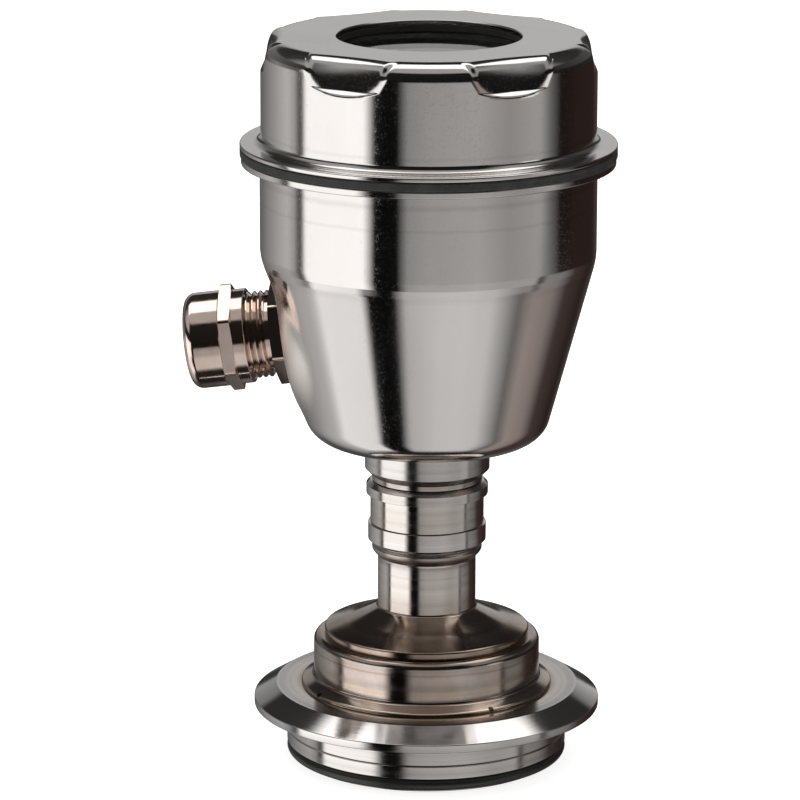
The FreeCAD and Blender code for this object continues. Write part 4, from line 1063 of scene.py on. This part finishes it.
class TRANSMITTER_OT_cover(bpy.types.Operator):
    """Presses the cover with its finger recesses, and makes the gasket under it"""
    bl_idname = "transmitter.cover"
    bl_label = "Cover and gasket"

    recesses = 6
    # Mesh of half a recess: its columns, how they crowd at its side, and the wall and top that get rows.
    columns = 52
    crowding = 0.55
    pressed_h = 15 * MM
    pressed_w = 12 * MM
    # A vertex is pushed towards a ring inside the cover, and its place is found by halving the way.
    anchor_r = 27 * MM
    anchor_z = 150 * MM
    longest_push = 0.9
    halvings = 32
    # The recess's sides turn sharper on the last stretch under the top.
    sharp_h = 5 * MM
    sharpening = 0.7
    shoulder_run = 1.2 * MM

    def execute(self, context):
        finish = finish_of(context)
        lines = [(142.4 * MM, 0.8 * MM, 0.3)]
        steel = pressed_steel("cover_steel", finish, roughness=0.09, lines=lines)
        dress(self.pressed_cover(context.scene.transmitter_cover), "cover", steel)
        edge = 0.5 * MM
        bore_r = context.scene.transmitter_housing.wall_r - 1.4 * MM
        gasket = lathe([(bore_r, GASKET_LOW), (GASKET_R, GASKET_LOW, edge), (GASKET_R, GASKET_HIGH, edge),
                        (bore_r, GASKET_HIGH)])
        dress(gasket, "cover_gasket", black_rubber("gasket_rubber", finish, roughness=0.55, dust=0.35))
        return {"FINISHED"}

    def pressed_cover(self, sizes):
        """Half a recess pressed from a plain wall, mirrored and repeated round the axis."""
        inner_r = sizes.wall_r - sizes.sheet
        roof_z = COVER_TOP_Z - sizes.sheet
        root_z = COVER_Z + sizes.sheet
        press_low = COVER_TOP_Z - self.pressed_h
        press_r = sizes.wall_r - self.pressed_w
        floor_z = COVER_TOP_Z - sizes.recess_h
        # Each corner's radius and height, and the cuts in the side from it to the next.
        corners = [
            (sizes.window_r, COVER_TOP_Z, 0), (press_r, COVER_TOP_Z, 34), (sizes.wall_r, COVER_TOP_Z, 22),
            (sizes.wall_r, floor_z + MM, 10), (sizes.wall_r, floor_z - 0.6 * MM, 14),
            (sizes.wall_r, press_low, 0), (sizes.wall_r, root_z, 0), (COVER_RIM_R, root_z, 0),
            (COVER_RIM_R, COVER_Z, 0), (inner_r, COVER_Z, 0), (inner_r, press_low, 10),
            (inner_r, roof_z, 10), (press_r, roof_z, 0), (sizes.window_r, roof_z, 0)]
        bm = bmesh.new()
        sides = closed_section(bm, corners)
        for side, corner in zip(sides[1:] + sides[:1], corners):
            if corner[2]:
                bmesh.ops.subdivide_edges(bm, edges=[side], cuts=corner[2])
        sector = FULL_TURN / self.recesses / 2
        spin(bm, everything(bm), sector, self.columns)
        for vert in bm.verts:
            self.press(vert, sizes, sector)
        bmesh.ops.mirror(bm, geom=everything(bm), matrix=Matrix.Identity(4), merge_dist=MERGE_DISTANCE,
                         axis="Y")
        spin(bm, everything(bm), FULL_TURN - 2 * sector, self.recesses - 1, copies=True)
        bmesh.ops.remove_doubles(bm, verts=bm.verts, dist=RING_TOLERANCE)
        bmesh.ops.rotate(bm, verts=bm.verts, cent=(0, 0, 0),
                         matrix=Matrix.Rotation(sizes.recess_clock, 3, "Z"))
        bmesh.ops.recalc_face_normals(bm, faces=bm.faces)
        edge = 0.35 * MM
        outline = [(sizes.wall_r, press_low), (sizes.wall_r, root_z, sizes.root_round),
                   (COVER_RIM_R, root_z, edge), (COVER_RIM_R, COVER_Z, edge), (inner_r, COVER_Z)]
        for before, corner, after in zip(outline, outline[1:], outline[2:]):
            round_ring(bm, before, corner, after)
        round_ring(bm, (sizes.window_r, roof_z), (sizes.window_r, COVER_TOP_Z, edge),
                   (press_r, COVER_TOP_Z))
        return bm

    def press(self, vert, sizes, sector):
        """Crowds the columns at the recess's side, then sinks a vertex to the pressed form."""
        radius = math.hypot(vert.co.x, vert.co.y)
        angle = math.atan2(vert.co.y, vert.co.x)
        angle += self.crowding * sector / FULL_TURN * math.sin(FULL_TURN * angle / sector)
        vert.co.x = radius * math.cos(angle)
        vert.co.y = radius * math.sin(angle)
        inner = radius < sizes.wall_r - sizes.sheet / 2 and vert.co.z < COVER_TOP_Z - sizes.sheet / 2
        inset = sizes.sheet if inner else 0.0
        if radius > sizes.wall_r + RING_TOLERANCE or self.depth(vert.co, sizes, inset) <= 0:
            return
        anchor = Vector((self.anchor_r * math.cos(angle), self.anchor_r * math.sin(angle), self.anchor_z))
        path = anchor - vert.co
        near = 0.0
        far = self.longest_push
        for _ in range(self.halvings):
            middle = (near + far) / 2
            if self.depth(vert.co + path * middle, sizes, inset) > 0:
                near = middle
            else:
                far = middle
        vert.co += path * far

    def depth(self, point, sizes, inset):
        """Signed distance to the pressed form, negative inside, for the recess on +X."""
        under_top = COVER_TOP_Z - point.z
        wall = math.hypot(point.x, point.y) - sizes.wall_r + inset
        face, floor = self.pocket(point, under_top, sizes, inset)
        at_top = 1 - smooth_step(under_top / self.sharp_h)
        flank = round_join(wall, face, sizes.edge_round * (1 - self.sharpening * at_top))
        ledge = round_join(wall, floor, sizes.floor_round)
        pressed = smooth_step((face - wall) / self.shoulder_run)
        top_round = sizes.shoulder_round + (sizes.face_round - sizes.shoulder_round) * pressed
        return round_join(min(flank, ledge), inset - under_top, top_round - inset)

    def pocket(self, point, under_top, sizes, inset):
        """Distances beyond the recess's leaning, hollow face and above its bowed floor."""
        rise = sizes.recess_h - under_top
        beyond = point.x - sizes.wall_r + sizes.recess_depth
        lean = sizes.recess_lean
        fall = sizes.floor_fall
        across = point.y ** 2 / 2
        back = rise * math.tan(lean) + max(rise, 0.0) ** 2 / (2 * sizes.recess_bend)
        face = (beyond + back - across / sizes.recess_hollow) * math.cos(lean) + inset
        floor = (rise - across / sizes.floor_bow) * math.cos(fall) + beyond * math.sin(fall) + inset
        return face, floor


class TRANSMITTER_OT_window(bpy.types.Operator):
    """Makes the window's glass, its seal and the ring that clamps it"""
    bl_idname = "transmitter.window"
    bl_label = "Window"

    def execute(self, context):
        sizes = context.scene.transmitter_cover
        edge = 0.3 * MM
        seal = lathe([(sizes.seal_r, GLASS_HIGH, edge), (GLASS_R, GLASS_HIGH), (GLASS_R, RING_HIGH),
                      (sizes.seal_r, RING_HIGH, edge)])
        rubber = moulded("window_seal_rubber", (0.04, 0.039, 0.034), roughness=0.5, scale=150.0)
        dress(seal, "window_seal", rubber)
        glass = lathe([(0.0, GLASS_LOW), (GLASS_R, GLASS_LOW, edge), (GLASS_R, GLASS_HIGH, edge),
                       (0.0, GLASS_HIGH)])
        dress(glass, "window_glass", clear_glass("window_glass"))
        bore_r = 25 * MM
        pocket_r = GLASS_R + LOOSE_FIT
        ring = lathe([(bore_r, RING_LOW, edge), (RING_R, RING_LOW, edge), (RING_R, RING_HIGH),
                      (pocket_r, RING_HIGH), (pocket_r, GLASS_LOW), (bore_r, GLASS_LOW, edge)])
        steel = turned_steel("window_ring_steel", finish_of(context), roughness=0.3, grain=0.6)
        dress(ring, "window_ring", steel)
        return {"FINISHED"}


class TRANSMITTER_OT_gland(bpy.types.Operator):
    """Turns the cable gland's body with its thread, and its dome nut"""
    bl_idname = "transmitter.gland"
    bl_label = "Cable gland"

    def execute(self, context):
        sizes = context.scene.transmitter_gland
        nickel = plated_nickel("plated_nickel", finish_of(context), sizes)
        made = {"gland_body": self.gland_body(sizes), "gland_nut": self.gland_nut(sizes)}
        for node, bm in made.items():
            bmesh.ops.transform(bm, matrix=gland_matrix(sizes), verts=bm.verts)
            dress(bm, node, nickel)
        return {"FINISHED"}

    def gland_body(self, sizes):
        """Shank, relief and threaded tube in one turning, with the hexagon and the thread's ridge."""
        shank_end = -9.7 * MM
        root_r = sizes.thread_r - sizes.thread_depth
        thread_low = sizes.hex_h + sizes.relief_h
        edge = 0.25 * MM
        bm = lathe([
            (sizes.bore_r, shank_end), (sizes.shank_r, shank_end), (sizes.shank_r, sizes.hex_h / 2),
            (sizes.relief_r, sizes.hex_h / 2), (sizes.relief_r, thread_low), (root_r, thread_low),
            (root_r, sizes.thread_end), (sizes.pocket_r, sizes.thread_end),
            (sizes.pocket_r, sizes.pocket_floor), (sizes.bore_r, sizes.pocket_floor)], steps=128)
        merge_in(bm, hexagon(sizes.hex_flats, 0.0, sizes.hex_h, sizes.relief_r - edge, sizes.hex_clock))
        ridge_low = sizes.hex_h + sizes.pitch / 2 + edge
        ridge_high = sizes.thread_end - sizes.pitch / 2
        merge_in(bm, screw_ridge(root_r, sizes.thread_r, sizes.pitch, ridge_low, ridge_high))
        return bm

    def gland_nut(self, sizes):
        """Sleeve, hexagon and round-ended dome with the cable's mouth."""
        hex_low = sizes.nut_low + sizes.sleeve_h
        dome_low = hex_low + sizes.nut_hex_h
        dome_end = dome_low + sizes.dome_h
        bore_r = sizes.thread_r + sizes.slide_gap
        bore_end = sizes.nut_low + sizes.nut_bore_h
        core_r = sizes.dome_r - 0.6 * MM
        edge = 0.3 * MM
        bm = lathe([
            (bore_r, sizes.nut_low, edge), (sizes.sleeve_r, sizes.nut_low, edge),
            (sizes.sleeve_r, hex_low), (core_r, hex_low), (core_r, dome_low), (sizes.dome_r, dome_low, edge),
            (sizes.dome_r, dome_end, sizes.dome_round), (sizes.mouth_r, dome_end, edge),
            (sizes.mouth_r, dome_end - sizes.end_wall), (bore_r, bore_end)], steps=192)
        merge_in(bm, hexagon(sizes.nut_flats, hex_low, dome_low, bore_r + edge, sizes.nut_clock))
        return bm


class TRANSMITTER_OT_inner(bpy.types.Operator):
    """Gives every inner piece that keeps its own mesh its finish"""
    bl_idname = "transmitter.inner"
    bl_label = "Inner pieces"

    def execute(self, context):
        finish = finish_of(context)
        steel = turned_steel("inner_steel", finish, roughness=0.28, grain=0.5)
        seals = black_rubber("inner_seal_rubber", finish, roughness=0.45, dust=0.2)
        keys = moulded("key_plastic", (0.55, 0.55, 0.55), roughness=0.45, scale=120.0)
        # Each moulding's finish, tint, roughness and the scale of its clouding.
        mouldings = {
            "measuring_cell": ("cell_ceramic", (0.86, 0.84, 0.79), 0.4, 160.0),
            "cell_board": ("circuit_board", (0.03, 0.16, 0.07), 0.4, 200.0),
            "sensor_lead": ("lead_jacket", (0.1, 0.1, 0.11), 0.5, 200.0),
            "electronics_module": ("potting", (0.02, 0.022, 0.025), 0.35, 60.0),
            "terminal_block": ("terminal_plastic", (0.08, 0.2, 0.11), 0.45, 120.0),
            "display_module": ("display_plastic", (0.045, 0.047, 0.05), 0.5, 90.0),
            "display_panel": ("display_glass", (0.32, 0.36, 0.3), 0.15, 40.0),
            "gland_claw": ("cage_plastic", (0.55, 0.55, 0.52), 0.5, 120.0),
        }
        finishes = {node: moulded(*moulding) for node, moulding in mouldings.items()}
        finishes["gland_grommet"] = black_rubber("grommet_rubber", finish, roughness=0.5, dust=0.2)
        for node in ("cell_clamp_ring", "swivel_ring", "thread_ring", "gland_bush", "electronics_screws",
                     "terminal_screws"):
            finishes[node] = steel
        for node in ("cell_seal", "swivel_oring", "gland_seal"):
            finishes[node] = seals
        for node in frame["nodes"]:
            if node.startswith("display_key"):
                finishes[node] = keys
        for node, material in finishes.items():
            mesh = frame["nodes"][node].data
            mesh.materials.clear()
            mesh.materials.append(material)
        return {"FINISHED"}


class TRANSMITTER_OT_stage(bpy.types.Operator):
    """Sets the pale floor, the soft studio light and the camera"""
    bl_idname = "transmitter.stage"
    bl_label = "Stage"

    def execute(self, context):
        settings = context.scene.transmitter_stage
        self.lay_floor(settings)
        self.light_room(context, settings)
        self.place_camera(context, settings)
        context.scene.view_settings.view_transform = "Standard"
        return {"FINISHED"}

    def lay_floor(self, settings):
        """Pale disc under the foot; the metal mirrors the room and not the disc."""
        bm = bmesh.new()
        bmesh.ops.create_circle(bm, cap_ends=True, segments=96, radius=settings.floor_r)
        bmesh.ops.translate(bm, verts=bm.verts, vec=(0, 0, CAD_BOX[0][2]))
        floor = new_object("floor", mesh_from(bm, "floor"))
        floor.visible_glossy = False
        material, tree, shader, place = new_material("pale_floor", {"Roughness": 0.9})
        cloud = effect_in(tree, "clouding", place, {"Scale": 1.5})["Value"]
        tree.links.new(mix_in(tree, cloud, tone(0.9), tone(0.94)), shader.inputs["Base Color"])
        shader.inputs["Emission Color"].default_value = (1.0, 1.0, 1.0, 1.0)
        shader.inputs["Emission Strength"].default_value = settings.floor_glow
        below = tree.nodes.new("ShaderNodeNewGeometry").outputs["Backfacing"]
        clear = tree.nodes.new("ShaderNodeBsdfTransparent").outputs[0]
        choice = node_in(tree, "ShaderNodeMixShader", {0: below, 1: shader.outputs[0], 2: clear})
        tree.links.new(choice.outputs[0], tree.nodes["Material Output"].inputs["Surface"])
        floor.data.materials.append(material)

    def light_room(self, context, settings):
        """Studio walls as layers of soft upright bands, seen only in the metal; the camera sees white."""
        world = bpy.data.worlds.new("studio")
        world.use_nodes = True
        context.scene.world = world
        tree = world.node_tree
        ray = tree.nodes.new("ShaderNodeTexCoord").outputs["Generated"]
        turn_back = {"Vector": ray, "Rotation": (0.0, 0.0, -settings.camera_turn)}
        turned = node_in(tree, "ShaderNodeMapping", turn_back, vector_type="POINT")
        parts = node_in(tree, "ShaderNodeSeparateXYZ", {0: turned.outputs[0]})
        front = math_in(tree, "MULTIPLY", parts.outputs["Y"], -1.0)
        round_room = math_in(tree, "ARCTAN2", parts.outputs["X"], front)
        place = math_in(tree, "ADD", math_in(tree, "DIVIDE", round_room, FULL_TURN), 0.5)
        room = None
        for low, high, bands in STUDIO:
            stops = [(degrees / 360 + 0.5, tuple(channel / STUDIO_POWER for channel in tone(value)))
                     for degrees, value in bands]
            layer = ramp_in(tree, place, stops)
            if room is None:
                room = layer
                continue
            room = mix_in(tree, fade_in(tree, parts.outputs["Z"], low, high), room, layer)
        bank = self.light_bank(tree, parts.outputs["X"], front, parts.outputs["Z"])
        room = mix_in(tree, bank, room, tone(BANK_TONE))
        seen = tree.nodes.new("ShaderNodeLightPath").outputs["Is Camera Ray"]
        shown = mix_in(tree, seen, room, tone(1.0 / STUDIO_POWER))
        tree.links.new(shown, tree.nodes["Background"].inputs["Color"])
        tree.nodes["Background"].inputs["Strength"].default_value = STUDIO_POWER
        soft = bpy.data.lights.new("overhead_soft", "AREA")
        soft.shape = "DISK"
        soft.size = settings.lamp_size
        soft.energy = settings.lamp_power
        lamp = new_object("overhead_soft", soft)
        lamp.location = LAMP_PLACE
        lamp.visible_camera = False
        lamp.visible_glossy = False

    def light_bank(self, tree, aside, front, rise):
        """Mask of the wide bank light overhead, set a little behind the object."""
        level = math_in(tree, "MAXIMUM", rise, LEAST_RISE)
        across = math_in(tree, "ABSOLUTE", math_in(tree, "DIVIDE", aside, level))
        along = math_in(tree, "DIVIDE", front, level)
        mask = 1.0
        for place, (full, faded) in ((across, BANK_SIDE), (along, BANK_FRONT), (along, BANK_BACK)):
            mask = math_in(tree, "MULTIPLY", fade_in(tree, place, faded, full), mask)
        return mask

    def place_camera(self, context, settings):
        """Long lens at the photograph's place, aimed a little left of the object."""
        eye = bpy.data.cameras.new("camera")
        eye.sensor_width = SENSOR_WIDTH
        eye.lens = settings.lens
        eye.clip_end = FAR_LIMIT
        camera = new_object("camera", eye)
        away = settings.camera_away
        place = Vector((away * math.sin(settings.camera_turn), -away * math.cos(settings.camera_turn),
                        settings.camera_z))
        aim = Matrix.Rotation(settings.camera_turn + settings.camera_aside, 4, "Z")
        aim = aim @ Matrix.Rotation(math.pi / 2 - settings.camera_dip, 4, "X")
        aim = aim @ Matrix.Rotation(settings.camera_roll, 4, "Z")
        camera.matrix_world = Matrix.Translation(place) @ aim
        context.scene.camera = camera


class TRANSMITTER_PT_panel(bpy.types.Panel):
    """Lists the transmitter's pieces and their sizes"""
    bl_idname = "TRANSMITTER_PT_panel"
    bl_label = "Pressure transmitter"
    bl_space_type = "VIEW_3D"
    bl_region_type = "UI"
    bl_category = "Transmitter"

    def draw(self, context):
        for operator in OPERATORS:
            self.layout.operator(operator.bl_idname)
        for label in GROUPS:
            box = self.layout.box()
            box.label(text=label)
            group = getattr(context.scene, "transmitter_" + label)
            for key in group.bl_rna.properties.keys():
                if key not in ("rna_type", "name"):
                    box.prop(group, key)


GROUPS = {"foot": FootSizes, "sensor": SensorSizes, "swivel": SwivelSizes, "housing": HousingSizes,
          "cover": CoverSizes, "gland": GlandSizes, "finish": FinishColours, "stage": StageSettings}
OPERATORS = (TRANSMITTER_OT_effects, TRANSMITTER_OT_foot, TRANSMITTER_OT_sensor, TRANSMITTER_OT_swivel,
             TRANSMITTER_OT_housing, TRANSMITTER_OT_cover, TRANSMITTER_OT_window, TRANSMITTER_OT_gland,
             TRANSMITTER_OT_inner, TRANSMITTER_OT_stage)


def register():
    for label, group in GROUPS.items():
        bpy.utils.register_class(group)
        setattr(bpy.types.Scene, "transmitter_" + label, PointerProperty(type=group))
    for operator in OPERATORS:
        bpy.utils.register_class(operator)
    bpy.utils.register_class(TRANSMITTER_PT_panel)


def unregister():
    bpy.utils.unregister_class(TRANSMITTER_PT_panel)
    for operator in reversed(OPERATORS):
        bpy.utils.unregister_class(operator)
    for label, group in GROUPS.items():
        delattr(bpy.types.Scene, "transmitter_" + label)
        bpy.utils.unregister_class(group)


def main():
    register()
    bpy.ops.transmitter.effects()
    bpy.ops.transmitter.foot()
    bpy.ops.transmitter.sensor()
    bpy.ops.transmitter.swivel()
    bpy.ops.transmitter.housing()
    bpy.ops.transmitter.cover()
    bpy.ops.transmitter.window()
    bpy.ops.transmitter.gland()
    bpy.ops.transmitter.inner()
    bpy.ops.transmitter.stage()


if __name__ == "__main__":
    main()
